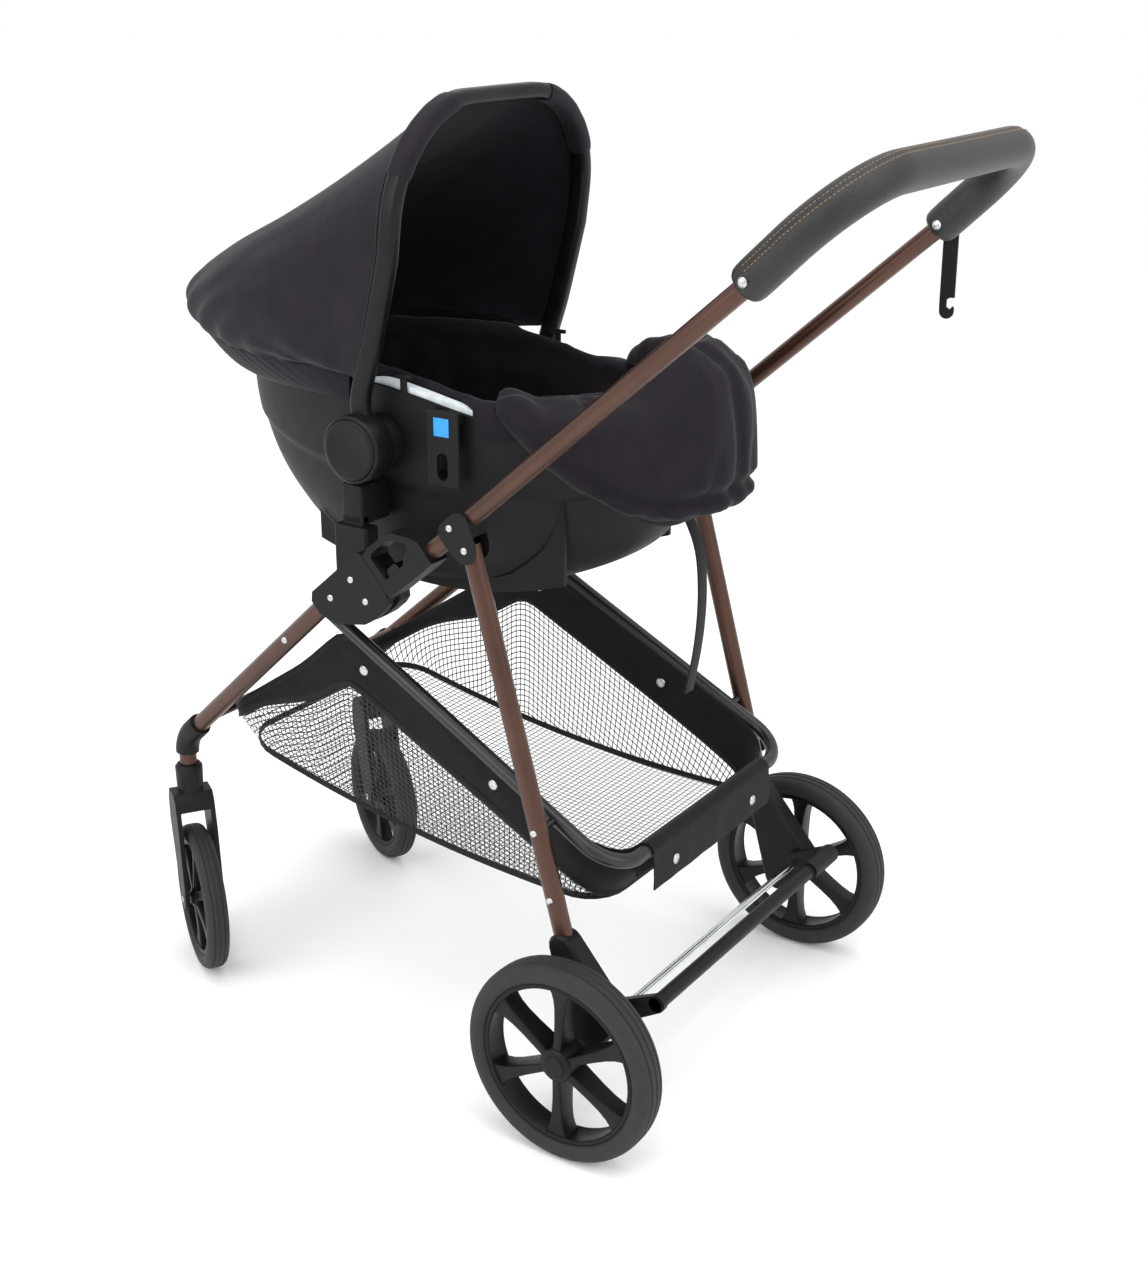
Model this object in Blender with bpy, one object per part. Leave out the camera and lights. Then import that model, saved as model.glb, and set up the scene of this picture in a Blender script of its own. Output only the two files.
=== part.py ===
"""Travel system stroller: a folding pushchair frame with an infant car seat clipped on top.

Metres, +Z up. The front of the stroller is -Y and the push handle is at +Y. The floor is z = 0.
"near" is +X and "far" is -X.
"""

import math

import bmesh
import bpy
from mathutils import Matrix, Vector

for old in list(bpy.data.objects):
    bpy.data.objects.remove(old, do_unlink=True)

# Clearances
GAP = 0.0003                 # between parts that touch
RUN = 0.0006                 # between parts that turn or slide on each other
CENTRE_Y = -0.0245            # puts the middle of the whole length on y = 0
SMOOTH_ANGLE = math.radians(40)
WHEEL_STEPS = 28

# Rear wheels
REAR_WHEEL_R = 0.115
REAR_WHEEL_WIDTH = 0.038
REAR_WHEEL_X = 0.2735
REAR_AXLE_Y = 0.231
REAR_TYRE_DEPTH = 0.022
REAR_SPOKES = 6
REAR_HUB_R = 0.019

# Front casters
FRONT_WHEEL_R = 0.092
FRONT_WHEEL_WIDTH = 0.028
FRONT_TYRE_DEPTH = 0.019
FRONT_SPOKES = 6
FRONT_HUB_R = 0.013
HUB_SHARE = 0.95             # of the wheel's width
HUB_CAP = 0.005              # closed end of a rear hub
CASTER_X = 0.179
CASTER_Y = -0.393
CASTER_TRAIL = 0.025
CASTER_YAW_NEAR = math.radians(-32.8)
CASTER_YAW_FAR = math.radians(-27.2)
FORK_CROWN_Z = 0.214
FORK_HEAD_R = 0.017
FORK_HEAD_TOP = 0.266
FORK_LEG_THICKNESS = 0.006
FORK_LEG_GAP = 0.0045        # between the wheel's side and a fork leg

# Fold pivot and handle
FOLD_Y = -0.050
FOLD_Z = 0.556
HANDLE_ANGLE = math.radians(41.0)
HANDLE_X = 0.2228
HANDLE_R = 0.0100
HANDLE_START = 0.090         # along the handle from the fold pivot
HANDLE_TOP_Z = 1.034         # centre of the handle's cross bar
HANDLE_BAR_Y = 0.4905
HANDLE_CORNER_R = 0.085
HANDLE_TOP_X = 0.2147
GRIP_R = 0.0200
GRIP_STRAIGHT = 0.0585       # of the grip, before the handle's corner
GRIP_START = (math.hypot(HANDLE_BAR_Y - FOLD_Y, HANDLE_TOP_Z - FOLD_Z)
              - HANDLE_CORNER_R - GRIP_STRAIGHT)
GRIP_SCREW_AT = 0.012        # up the grip from its lower end
GRIP_CLEAR = 0.012           # straight tube below the grip

# Rear legs
BRACKET_AT = 0.1585          # along the handle from the fold pivot
BRACKET_DROP = 0.0238        # leg pivot below the handle's centre line
LEG_EYE_R = 0.0120           # room round the leg's top end in its bracket
REAR_LEG_ANGLE = math.radians(-74.8)
REAR_LEG_R = 0.0105
REAR_LEG_X = 0.2228
REAR_LEG_LENGTH = 0.452
REAR_FOOT_WIDTH = 0.027
KNOB_ALONG = 0.3805          # down the rear leg from its pivot
AXLE_R = 0.0042

# Front legs
FRONT_LEG_R = 0.0105
FRONT_LEG_TOP = (0.2165, -0.0640, 0.5920)
LEG_CORNER_Z = 0.300         # where the leg's line meets the caster's upright
CROSS_BAR_ALONG = 0.385      # down the front leg from its top end
CROSS_BAR_R = 0.0065
LEG_BEND_R = 0.045
STEM_LOW_Z = 0.228

# Fold joint housings, in X
HOUSING_IN_X = 0.1985
HOUSING_OUT_X = 0.2375
KNUCKLE_IN_X = 0.2085
TONGUE_HALF = 0.0050
TONGUE_EYE_R = 0.0150
PIN_R = 0.0040
SEAM_AT = 0.0375             # along the handle from the fold pivot
FOLD_ANGLE = math.radians(90)

# Basket
BASKET_PIVOT_ALONG = 0.1165  # down the front leg from its top end
BASKET_LEG_PIVOT = 0.3088    # down the rear leg from its own pivot
BASKET_TUBE_R = 0.0080
BASKET_FRONT_X = 0.1795
BASKET_REAR_X = 0.1930
BASKET_OVERHANG = 0.088      # of the rear bar past the leg pivot
BASKET_CORNER_R = 0.045
BAG_FLOOR_FRONT_Z = 0.318
BAG_FLOOR_REAR_Z = 0.245
BAG_SAG = 0.022
BAG_WALL = 0.003

# Brake bar
BRAKE_PIVOT_Y = 0.262
BRAKE_PIVOT_Z = 0.150
BRAKE_BAR_Y = 0.304
BRAKE_BAR_Z = 0.172
BRAKE_BAR_R = 0.0085
BRAKE_PIN_R = 0.0035

# Transport hook
HOOK_LENGTH = 0.098
HOOK_WIDTH = 0.017
HOOK_THICKNESS = 0.003

# Car seat
HUB_Y = -0.091
HUB_Z = 0.714
HUB_R = 0.0375
SEAT_HEAD_Y = -0.375
SEAT_WIDEST_Y = -0.060
SEAT_FOOT_Y = 0.225
SEAT_HALF_WIDTH = 0.1500
BOSS_ROOT = 0.0040           # how far the hub boss starts inside the shell's side
LUG_ROOT = 0.0105
HIP_SHARE = 0.28             # of the seat's half width that a hip strap reaches
SEAT_LOW_Z = 0.545
SEAT_ROCKER_R = 0.50
SEAT_ROCKER_Y = -0.050
ROCKER_X = SEAT_HALF_WIDTH - 0.038
ROCKER_Y = (-0.215, 0.125)
ROCKER_WALL = 0.005
SHELL_WALL = 0.0045
FOAM_WALL = 0.014
COVER_WALL = 0.012
FOAM_RISE = 0.006
COVER_RISE = 0.010
INSERT_WALL = 0.013
INSERT_INSET = SHELL_WALL + FOAM_WALL + COVER_WALL + 4 * GAP
EYE_IN_X = 0.1695
BUTTON_FLOOR_X = 0.1890
EYE_OUT_X = 0.2005
PIVOT_R = 0.0080
BUTTON_R = 0.0335
HUB_FACE_X = 0.2035
CARRY_X = 0.1770
CARRY_TOP_Z = 1.0810
CARRY_CORNER_R = 0.118
CARRY_WIDTH = 0.0225
CARRY_THICKNESS = 0.0170
BUTTON_TRAVEL = 0.004
CANOPY_WALL = 0.003
CANOPY_LOW_Z = 0.787
HEM_HALF_WIDTH = 0.1560
HEM_Y = -0.125
HEM_REACH = 0.320
HEM_RISE = 0.026
NOSE_OUT = 0.075             # how far the hood swells past its hem
NOSE_UP = 0.055
GATHER = 0.0025
GATHERS = 6
LIFT_TONGUE = 0.055
STRAP_R = 0.0040

# Colours are linear
BRONZE = (0.115, 0.062, 0.042)
BLACK = (0.012, 0.012, 0.013)
CHARCOAL = (0.018, 0.017, 0.021)
RUBBER = (0.022, 0.022, 0.023)
LEATHER = (0.016, 0.016, 0.017)
STEEL = (0.55, 0.55, 0.56)
WHITE_FOAM = (0.75, 0.78, 0.80)
NET = (0.020, 0.022, 0.021)


def along_handle(distance, drop=0.0):
    """Y and Z of a point on the handle's line, from the fold pivot, and drop below it."""
    y = FOLD_Y + distance * math.cos(HANDLE_ANGLE) + drop * math.sin(HANDLE_ANGLE)
    z = FOLD_Z + distance * math.sin(HANDLE_ANGLE) - drop * math.cos(HANDLE_ANGLE)
    return y, z


LEG_PIVOT = along_handle(BRACKET_AT, BRACKET_DROP)


def along_grip(distance):
    """The point (y, z) at a distance up the grip's straight part from its lower end."""
    start = Vector(along_handle(GRIP_START))
    corner = Vector((HANDLE_BAR_Y, HANDLE_TOP_Z))
    return tuple(start + (corner - start).normalized() * distance)




def along_rear_leg(distance, behind=0.0):
    """Y and Z of a point down the rear leg from its pivot, and behind its centre line."""
    y = LEG_PIVOT[0] + distance * math.cos(REAR_LEG_ANGLE) - behind * math.sin(REAR_LEG_ANGLE)
    z = LEG_PIVOT[1] + distance * math.sin(REAR_LEG_ANGLE) + behind * math.cos(REAR_LEG_ANGLE)
    return y, z


LEG_TOP = Vector(FRONT_LEG_TOP)
LEG_CORNER = Vector((CASTER_X, CASTER_Y, LEG_CORNER_Z))
LEG_DIRECTION = (LEG_CORNER - LEG_TOP).normalized()
BASKET_PIVOT = LEG_TOP + LEG_DIRECTION * BASKET_PIVOT_ALONG
BASKET_HOLE = along_rear_leg(BASKET_LEG_PIVOT)


def material(name, colour, roughness, metallic=0.0):
    """A Principled material of one colour."""
    made = bpy.data.materials.get(name) or bpy.data.materials.new(name)
    made.use_nodes = True
    shader = made.node_tree.nodes["Principled BSDF"]
    shader.inputs["Base Color"].default_value = (*colour, 1.0)
    shader.inputs["Roughness"].default_value = roughness
    shader.inputs["Metallic"].default_value = metallic
    made.diffuse_color = (*colour, 1.0)
    return made


def finish(name, bm, look):
    """Turns a bmesh into a named object with outward faces, smooth rounds and a material."""
    bmesh.ops.remove_doubles(bm, verts=bm.verts, dist=1e-6)
    bmesh.ops.recalc_face_normals(bm, faces=bm.faces)
    mesh = bpy.data.meshes.new(name)
    bm.to_mesh(mesh)
    bm.free()
    mesh.shade_smooth()
    mesh.set_sharp_from_angle(angle=SMOOTH_ANGLE)
    mesh.materials.append(look)
    made = bpy.data.objects.new(name, mesh)
    bpy.context.scene.collection.objects.link(made)
    return made


def apply_modifiers(made):
    """Replaces an object's mesh by its evaluated one."""
    graph = bpy.context.evaluated_depsgraph_get()
    mesh = bpy.data.meshes.new_from_object(made.evaluated_get(graph))
    made.modifiers.clear()
    made.data = mesh
    return made


def combine(made, others, operation):
    """Adds or cuts the other objects, one at a time, and removes them."""
    for other in others:
        step = made.modifiers.new("cut", "BOOLEAN")
        step.operation = operation
        step.solver = "EXACT"
        step.object = other
        bpy.context.view_layer.update()
        apply_modifiers(made)
        bpy.data.objects.remove(other, do_unlink=True)
    made.data.shade_smooth()
    made.data.set_sharp_from_angle(angle=SMOOTH_ANGLE)
    return made


def ring_points(section, origin, side, up):
    """Places a section's (across, up) points in space."""
    return [origin + side * a + up * b for a, b in section]


def ellipse(half_across, half_up, count):
    """An ellipse as a list of points."""
    turn = 2 * math.pi / count
    return [(half_across * math.cos(i * turn), half_up * math.sin(i * turn)) for i in range(count)]


def rounded_box(half_across, half_up, radius, steps=2):
    """A rectangle with round corners as a list of points."""
    points = []
    for quarter in range(4):
        centre_a = (half_across - radius) * (1 if quarter in (0, 3) else -1)
        centre_b = (half_up - radius) * (1 if quarter in (0, 1) else -1)
        for i in range(steps + 1):
            angle = (quarter + i / steps) * math.pi / 2
            points.append((centre_a + radius * math.cos(angle), centre_b + radius * math.sin(angle)))
    return points


def path_frames(path, side_hint):
    """Side and up vectors for each point of a path, mitred at its bends."""
    frames = []
    last = len(path) - 1
    for i, point in enumerate(path):
        before = (point - path[max(i - 1, 0)]).normalized()
        after = (path[min(i + 1, last)] - point).normalized()
        forward = (before + after).normalized()
        side = (side_hint - forward * side_hint.dot(forward)).normalized()
        up = forward.cross(side)
        frames.append((side, up))
    return frames


def sweep_rings(bm, path, section, side_hint):
    """Rings of vertices along a path."""
    rings = []
    for point, (side, up) in zip(path, path_frames(path, side_hint)):
        rings.append([bm.verts.new(p) for p in ring_points(section, point, side, up)])
    return rings


def skin(bm, rings, closed=False):
    """Quads between neighbouring rings."""
    pairs = list(zip(rings, rings[1:])) + ([(rings[-1], rings[0])] if closed else [])
    for low, high in pairs:
        count = len(low)
        for i in range(count):
            j = (i + 1) % count
            bm.faces.new((low[i], low[j], high[j], high[i]))


def sweep(name, path, section, look, side_hint=(1, 0, 0), hollow=None):
    """A section swept along a path; hollow is the section of the bore."""
    path = [Vector(p) for p in path]
    hint = Vector(side_hint)
    bm = bmesh.new()
    outer = sweep_rings(bm, path, section, hint)
    skin(bm, outer)
    if hollow is None:
        bm.faces.new(outer[0])
        bm.faces.new(outer[-1])
    else:
        inner = sweep_rings(bm, path, hollow, hint)
        skin(bm, inner)
        for end in (0, -1):
            skin(bm, [outer[end], inner[end]])
    return finish(name, bm, look)


def lathe(name, profile, look, steps, centre, axis="X", solid=False):
    """An (along, radius) profile turned about an axis; a solid's profile starts and ends on it."""
    bm = bmesh.new()
    rings = []
    for i in range(steps):
        angle = 2 * math.pi * i / steps
        ring = []
        for a, r in profile:
            c, s = r * math.cos(angle), r * math.sin(angle)
            place = {"X": (a, c, s), "Y": (c, a, s), "Z": (c, s, a)}[axis]
            ring.append(bm.verts.new(Vector(centre) + Vector(place)))
        rings.append(ring)
    count = len(profile)
    for ring, following in zip(rings, rings[1:] + rings[:1]):
        for j in range(count - 1 if solid else count):
            k = (j + 1) % count
            bm.faces.new((ring[j], ring[k], following[k], following[j]))
    return finish(name, bm, look)


def rod(name, start, end, radius, look, sides=12, chamfer=0.0):
    """A straight round bar, with a small chamfer at each end."""
    start, end = Vector(start), Vector(end)
    forward = (end - start).normalized()
    hint = Vector((0, 0, 1)) if abs(forward.x) > 0.9 else Vector((1, 0, 0))
    side = (hint - forward * hint.dot(forward)).normalized()
    up = forward.cross(side)
    stations = [(0.0, radius)]
    length = (end - start).length
    if chamfer:
        stations = [(0.0, radius - chamfer), (chamfer, radius), (length - chamfer, radius)]
    stations.append((length, radius - chamfer))
    bm = bmesh.new()
    rings = []
    for distance, r in stations:
        origin = start + forward * distance
        rings.append([bm.verts.new(p) for p in ring_points(ellipse(r, r, sides), origin, side, up)])
    skin(bm, rings)
    bm.faces.new(rings[0])
    bm.faces.new(rings[-1])
    return finish(name, bm, look)


def prism(name, outline, low_x, high_x, look):
    """A (y, z) outline extruded along X."""
    bm = bmesh.new()
    rings = [[bm.verts.new((x, y, z)) for y, z in outline] for x in (low_x, high_x)]
    skin(bm, rings)
    bm.faces.new(rings[0])
    bm.faces.new(rings[1])
    return finish(name, bm, look)


def hull_of_circles(circles, steps=8):
    """The outline of a belt round circles given as (y, z, radius), in turning order."""
    points = []
    count = len(circles)
    for i in range(count):
        y, z, r = circles[i]
        before, after = circles[i - 1], circles[(i + 1) % count]
        start = tangent_angle(before, circles[i])
        end = tangent_angle(circles[i], after)
        while end < start:
            end += 2 * math.pi
        for k in range(steps + 1):
            angle = start + (end - start) * k / steps
            points.append((y + r * math.cos(angle), z + r * math.sin(angle)))
    return points


def tangent_angle(first, second):
    """The direction from both centres to the outer tangent line, going anticlockwise."""
    dy, dz = second[0] - first[0], second[1] - first[1]
    distance = math.hypot(dy, dz)
    return math.atan2(dz, dy) - math.acos((first[2] - second[2]) / distance)


def arc(centre, radius, start, end, steps):
    """Points on a circle in the (y, z) plane, or any plane of two numbers."""
    points = []
    for i in range(steps + 1):
        angle = start + (end - start) * i / steps
        points.append((centre[0] + radius * math.cos(angle), centre[1] + radius * math.sin(angle)))
    return points


def smooth_path(points, per_span):
    """A smooth curve through points, by Catmull-Rom."""
    points = [Vector(p) for p in points]
    ends = [points[0] * 2 - points[1]] + points + [points[-1] * 2 - points[-2]]
    result = []
    for a, b, c, d in zip(ends, ends[1:], ends[2:], ends[3:]):
        for i in range(per_span):
            t = i / per_span
            result.append(0.5 * ((2 * b) + (c - a) * t + (2 * a - 5 * b + 4 * c - d) * t * t
                                 + (3 * b - a - 3 * c + d) * t ** 3))
    result.append(points[-1])
    return result


def side_name(side):
    """The word for a side in a node's name."""
    return "near" if side > 0 else "far"


bronze = material("painted_tube", BRONZE, 0.38, 0.6)
black_tube = material("black_tube", BLACK, 0.4, 0.3)
plastic = material("black_plastic", BLACK, 0.5)
rubber = material("tyre_rubber", RUBBER, 0.8)
leather = material("grip_leatherette", LEATHER, 0.5)
steel = material("steel", STEEL, 0.25, 1.0)
fabric = material("charcoal_fabric", CHARCOAL, 0.85)
foam = material("white_foam", WHITE_FOAM, 0.7)
net = material("black_net", NET, 0.8)
webbing = material("webbing", BLACK, 0.8)


def bend(corner, before, after, radius, steps):
    """Points of a round bend at a corner between two straight runs."""
    corner, before, after = Vector(corner), Vector(before), Vector(after)
    back, ahead = (before - corner).normalized(), (after - corner).normalized()
    half = back.angle(ahead) / 2
    reach = radius / math.tan(half)
    middle = corner + (back + ahead).normalized() * radius / math.sin(half)
    start, end = corner + back * reach - middle, corner + ahead * reach - middle
    axis, sweep_angle = start.cross(end), start.angle(end)
    return [middle + Matrix.Rotation(sweep_angle * i / steps, 3, axis) @ start for i in range(steps + 1)]


def on_handle(points):
    """(along, above) points on the handle's line as (y, z)."""
    return [along_handle(s, -h) for s, h in points]


def mirrored(side, low_x, high_x):
    """The X range of a piece on one side."""
    return (low_x, high_x) if side > 0 else (-high_x, -low_x)


def sided(side, point):
    """A near side point, or its mirror image."""
    return Vector((side * point[0], point[1], point[2]))


# Front frame: legs, elbows, fold housings, seat adapters and the low cross bar

def leg_path():
    """The centre line of the near front leg, down to the foot of its stem."""
    foot = Vector((CASTER_X, CASTER_Y, STEM_LOW_Z))
    return [LEG_TOP] + bend(LEG_CORNER, LEG_TOP, foot, LEG_BEND_R, 5) + [foot]


def front_leg(side):
    """A bent tube with a hole for the basket's pivot pin."""
    path = [sided(side, p) for p in leg_path()]
    leg = sweep(f"front_leg_{side_name(side)}", path, ellipse(FRONT_LEG_R, FRONT_LEG_R, 14), bronze)
    y, z = BASKET_PIVOT.y, BASKET_PIVOT.z
    hole = rod("hole", (side * 0.18, y, z), (side * BASKET_PIVOT.x, y, z), PIN_R + RUN, bronze)
    return combine(leg, [hole], "DIFFERENCE")


def leg_elbow(side):
    """The plastic sleeve over the leg's bend."""
    wall = 0.0035
    path = bend(LEG_CORNER, LEG_TOP, (CASTER_X, CASTER_Y, STEM_LOW_Z), LEG_BEND_R, 5)
    start = path[0] - LEG_DIRECTION * 0.020
    bore = FRONT_LEG_R + GAP
    path = [sided(side, p) for p in [start] + path[:-1]]
    return sweep(f"leg_elbow_{side_name(side)}", path, ellipse(bore + wall, bore + wall, 14), plastic,
                 hollow=ellipse(bore, bore, 14))


PLATE_OUTLINE = [(-0.060, 0.026), (-0.048, 0.006), (-0.030, -0.006), (-0.012, -0.0165), (0.004, -0.0190),
                 (0.022, -0.0188), (0.0310, -0.0165), (0.0358, -0.0100), (SEAM_AT, -0.0030),
                 (SEAM_AT, 0.0450), (0.033, 0.0495), (-0.052, 0.0495), (-0.060, 0.0420)]


def side_plate(side):
    """The front half of the fold joint: a slotted housing with the pivot pin fixed in it."""
    name = f"side_plate_{side_name(side)}"
    plate = prism(name, on_handle(PLATE_OUTLINE), *mirrored(side, HOUSING_IN_X, HOUSING_OUT_X), plastic)
    bore_end = LEG_TOP - LEG_DIRECTION * GAP
    bore = rod("bore", sided(side, LEG_TOP + LEG_DIRECTION * 0.16), sided(side, bore_end),
               FRONT_LEG_R + GAP, plastic, sides=14)
    reach = TONGUE_EYE_R + RUN
    outer, folded = 0.062, -FOLD_ANGLE
    spread = math.asin(reach / outer)
    slot_outline = arc((0, 0), reach, folded - math.pi / 2 + 2 * math.pi, math.pi / 2, 5)
    slot_outline += arc((0, 0), outer, spread, folded - spread, 16)
    slot = prism("slot", on_handle(slot_outline),
                 *mirrored(side, HANDLE_X - TONGUE_HALF - RUN, HANDLE_X + TONGUE_HALF + RUN), plastic)
    combine(plate, [bore, slot], "DIFFERENCE")
    pin = rod("pin", (side * (HOUSING_IN_X + 0.002), FOLD_Y, FOLD_Z),
              (side * (HOUSING_OUT_X - 0.002), FOLD_Y, FOLD_Z), PIN_R, steel)
    return combine(plate, [pin], "UNION")


ADAPTER_Y = (-0.124, -0.078)
ADAPTER_X = (0.1725, 0.1945)
ADAPTER_Z = (0.538, 0.6265)
TONGUE_X = (0.1780, 0.1890)
TONGUE_Y = (-0.115, -0.087)


def box(name, xs, ys, zs, look, edge=0.0):
    """A block between two corners, with beveled edges."""
    bm = bmesh.new()
    made = bmesh.ops.create_cube(bm, size=1.0)
    size = Vector((xs[1] - xs[0], ys[1] - ys[0], zs[1] - zs[0]))
    centre = Vector((xs[1] + xs[0], ys[1] + ys[0], zs[1] + zs[0])) / 2
    for vertex in made["verts"]:
        vertex.co = Vector(a * b for a, b in zip(vertex.co, size)) + centre
    if edge:
        bmesh.ops.bevel(bm, geom=list(bm.edges), offset=edge, segments=2, affect="EDGES", profile=0.5)
    return finish(name, bm, look)


def seat_adapter(side):
    """The socket post that the car seat's tongue drops into."""
    name = f"seat_adapter_{side_name(side)}"
    post = box(name, mirrored(side, *ADAPTER_X), ADAPTER_Y, ADAPTER_Z, plastic, 0.003)
    peg_y, peg_z = -0.0850, 0.5480
    peg = rod("peg", (side * (ADAPTER_X[1] - 0.004), peg_y, peg_z),
              (side * (HOUSING_IN_X - GAP), peg_y, peg_z), 0.0065, plastic)
    combine(post, [peg], "UNION")
    xs = mirrored(side, TONGUE_X[0] - RUN, TONGUE_X[1] + RUN)
    ys = (TONGUE_Y[0] - RUN, TONGUE_Y[1] + RUN)
    zs = (ADAPTER_Z[1] - LIFT_TONGUE * 0.5, ADAPTER_Z[1] + 0.02)
    return combine(post, [box("socket", xs, ys, zs, plastic)], "DIFFERENCE")


def cross_bar():
    """The low bar between the front legs, inside the basket's front hem."""
    middle = LEG_TOP + LEG_DIRECTION * CROSS_BAR_ALONG
    reach = middle.x - FRONT_LEG_R / math.sqrt(1 - LEG_DIRECTION.x ** 2) - GAP
    reach += CROSS_BAR_R * LEG_DIRECTION.x
    return rod("front_cross_bar", (-reach, middle.y, middle.z), (reach, middle.y, middle.z),
               CROSS_BAR_R, bronze)


# Handle frame

HANDLE_NORMAL = (0, -math.sin(HANDLE_ANGLE), math.cos(HANDLE_ANGLE))


def handle_path():
    """The U of the push handle's tube, from the near knuckle to the far one."""
    start = Vector((HANDLE_X, *along_handle(HANDLE_START)))
    grip = Vector((HANDLE_TOP_X, *along_handle(GRIP_START)))
    corner = Vector((HANDLE_TOP_X, HANDLE_BAR_Y, HANDLE_TOP_Z))
    direction = (corner - grip).normalized()
    straight = Vector((HANDLE_X, *along_handle(BRACKET_AT + 0.03)))
    near = [start, straight, grip - direction * GRIP_CLEAR, grip, grip + direction * 0.02]
    near += bend(corner, grip, (0, corner.y, corner.z), HANDLE_CORNER_R, 5)
    return near + [Vector((-p.x, p.y, p.z)) for p in reversed(near)]


def handle_tube():
    """One tube bent into a U."""
    return sweep("handle_tube", handle_path(), ellipse(HANDLE_R, HANDLE_R, 12), bronze, HANDLE_NORMAL)


def handle_grip():
    """The padded sleeve over the upper part of the U."""
    path = handle_path()[3:-3]
    bore = HANDLE_R + GAP
    return sweep("handle_grip", path, ellipse(GRIP_R, GRIP_R, 12), leather, HANDLE_NORMAL,
                 ellipse(bore, bore, 12))


def grip_screw(side):
    """The screw through the lower end of the grip."""
    y, z = along_grip(GRIP_SCREW_AT)
    x = side * HANDLE_TOP_X + GRIP_R + GAP
    profile = [(0.0, 0.0), (0.0, 0.0052), (0.0012, 0.0050), (0.0026, 0.0034), (0.0030, 0.0)]
    return lathe(f"grip_screw_{side_name(side)}", profile, steel, 12, (x, y, z), solid=True)


KNUCKLE_OUTLINE = [(SEAM_AT + RUN, -0.0120), (0.098, -0.0135), (0.1135, -0.0128), (0.1135, 0.0145),
                   (0.106, 0.0250), (0.090, 0.0400), (0.080, 0.0440),
                   (0.050, 0.0450), (SEAM_AT + RUN, 0.0420)]
FINGER_HOLE = [(0.0480, 0.0060), (0.0800, 0.0060), (0.0870, 0.0130), (0.0960, 0.0160), (0.0980, 0.0225),
               (0.0860, 0.0335), (0.0780, 0.0370), (0.0520, 0.0375), (0.0470, 0.0340)]


def fold_knuckle(side):
    """The rear half of the fold joint: a tongue, a finger loop and a socket for the handle."""
    name = f"fold_knuckle_{side_name(side)}"
    body = prism(name, on_handle(KNUCKLE_OUTLINE), *mirrored(side, KNUCKLE_IN_X, HOUSING_OUT_X), plastic)
    eye = [(TONGUE_EYE_R * math.cos(a), TONGUE_EYE_R * math.sin(a)) for a in
           [math.radians(90 + 15 * i) for i in range(13)]]
    eye += [(0.045, -0.0110), (0.045, 0.0140)]
    tongue = prism("tongue", on_handle(eye),
                   *mirrored(side, HANDLE_X - TONGUE_HALF, HANDLE_X + TONGUE_HALF), plastic)
    combine(body, [tongue], "UNION")
    wide = mirrored(side, 0.19, 0.25)
    hole = prism("hole", on_handle(FINGER_HOLE), *wide, plastic)
    bore = rod("bore", (side * HANDLE_X, *along_handle(HANDLE_START - GAP)),
               (side * HANDLE_X, *along_handle(0.16)), HANDLE_R + GAP, plastic, sides=12)
    pin = rod("pin", (wide[0], FOLD_Y, FOLD_Z), (wide[1], FOLD_Y, FOLD_Z), PIN_R + RUN, plastic)
    return combine(body, [hole, bore, pin], "DIFFERENCE")


def release_trigger(side):
    """The sliding catch inside the finger loop."""
    outline = [(0.0500, 0.0063), (0.0690, 0.0063), (0.0690, 0.0105), (0.0660, 0.0150), (0.0540, 0.0150),
               (0.0500, 0.0110)]
    return prism(f"release_trigger_{side_name(side)}", on_handle(outline),
                 *mirrored(side, 0.2130, 0.2330), plastic)


def leg_bracket(side):
    """The clamp on the handle that carries the rear leg's pivot pin."""
    name = f"leg_bracket_{side_name(side)}"
    upper = along_handle(BRACKET_AT - 0.004)
    ahead = along_handle(BRACKET_AT + 0.012)
    circles = [(*LEG_PIVOT, 0.0150), (*ahead, 0.0135), (*upper, 0.0135)]
    body = prism(name, hull_of_circles(circles, 5), *mirrored(side, 0.2092, 0.2364), plastic)
    bore = rod("bore", (side * HANDLE_X, *along_handle(0.10)), (side * HANDLE_X, *along_handle(0.22)),
               HANDLE_R + GAP, plastic, sides=12)
    xs = mirrored(side, REAR_LEG_X - REAR_LEG_R - RUN, REAR_LEG_X + REAR_LEG_R + RUN)
    mouth = hull_of_circles([(*LEG_PIVOT, LEG_EYE_R), (*along_handle(BRACKET_AT - 0.045, 0.060), 0.02),
                             (*along_handle(BRACKET_AT + 0.060, 0.060), 0.02)], 6)
    combine(body, [bore, prism("mouth", mouth, *xs, plastic)], "DIFFERENCE")
    pin = rod("pin", (side * 0.2102, *LEG_PIVOT), (side * 0.2354, *LEG_PIVOT), PIN_R, steel)
    return combine(body, [pin], "UNION")


HOOK_X = -(HANDLE_TOP_X + GRIP_R + RUN)
HOOK_TOP = along_grip(GRIP_SCREW_AT)


def transport_hook():
    """A flat strap that hangs from the far grip screw, with an open hook at its foot."""
    y, z = HOOK_TOP
    half = HOOK_WIDTH / 2
    low = z - HOOK_LENGTH
    outline = arc((y, z), half, 0.0, math.pi, 8)
    outline += [(y - half, low + 0.004)] + arc((y, low), half, math.pi * 1.10, math.pi * 1.95, 6)
    outline += [(y + half, low + 0.004), (y + half - 0.002, low + 0.006), (y + 0.004, low + 0.002)]
    outline += [(y - 0.0005, low + 0.0045), (y - 0.0005, low + 0.0125)]
    outline += [(y + 0.004, low + 0.0150), (y + half, low + 0.0150)]
    hook = prism("transport_hook", outline, HOOK_X - HOOK_THICKNESS, HOOK_X, plastic)
    hole = rod("hole", (HOOK_X - 0.01, y, z), (HOOK_X + 0.01, y, z), PIN_R + RUN, plastic)
    return combine(hook, [hole], "DIFFERENCE")


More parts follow.
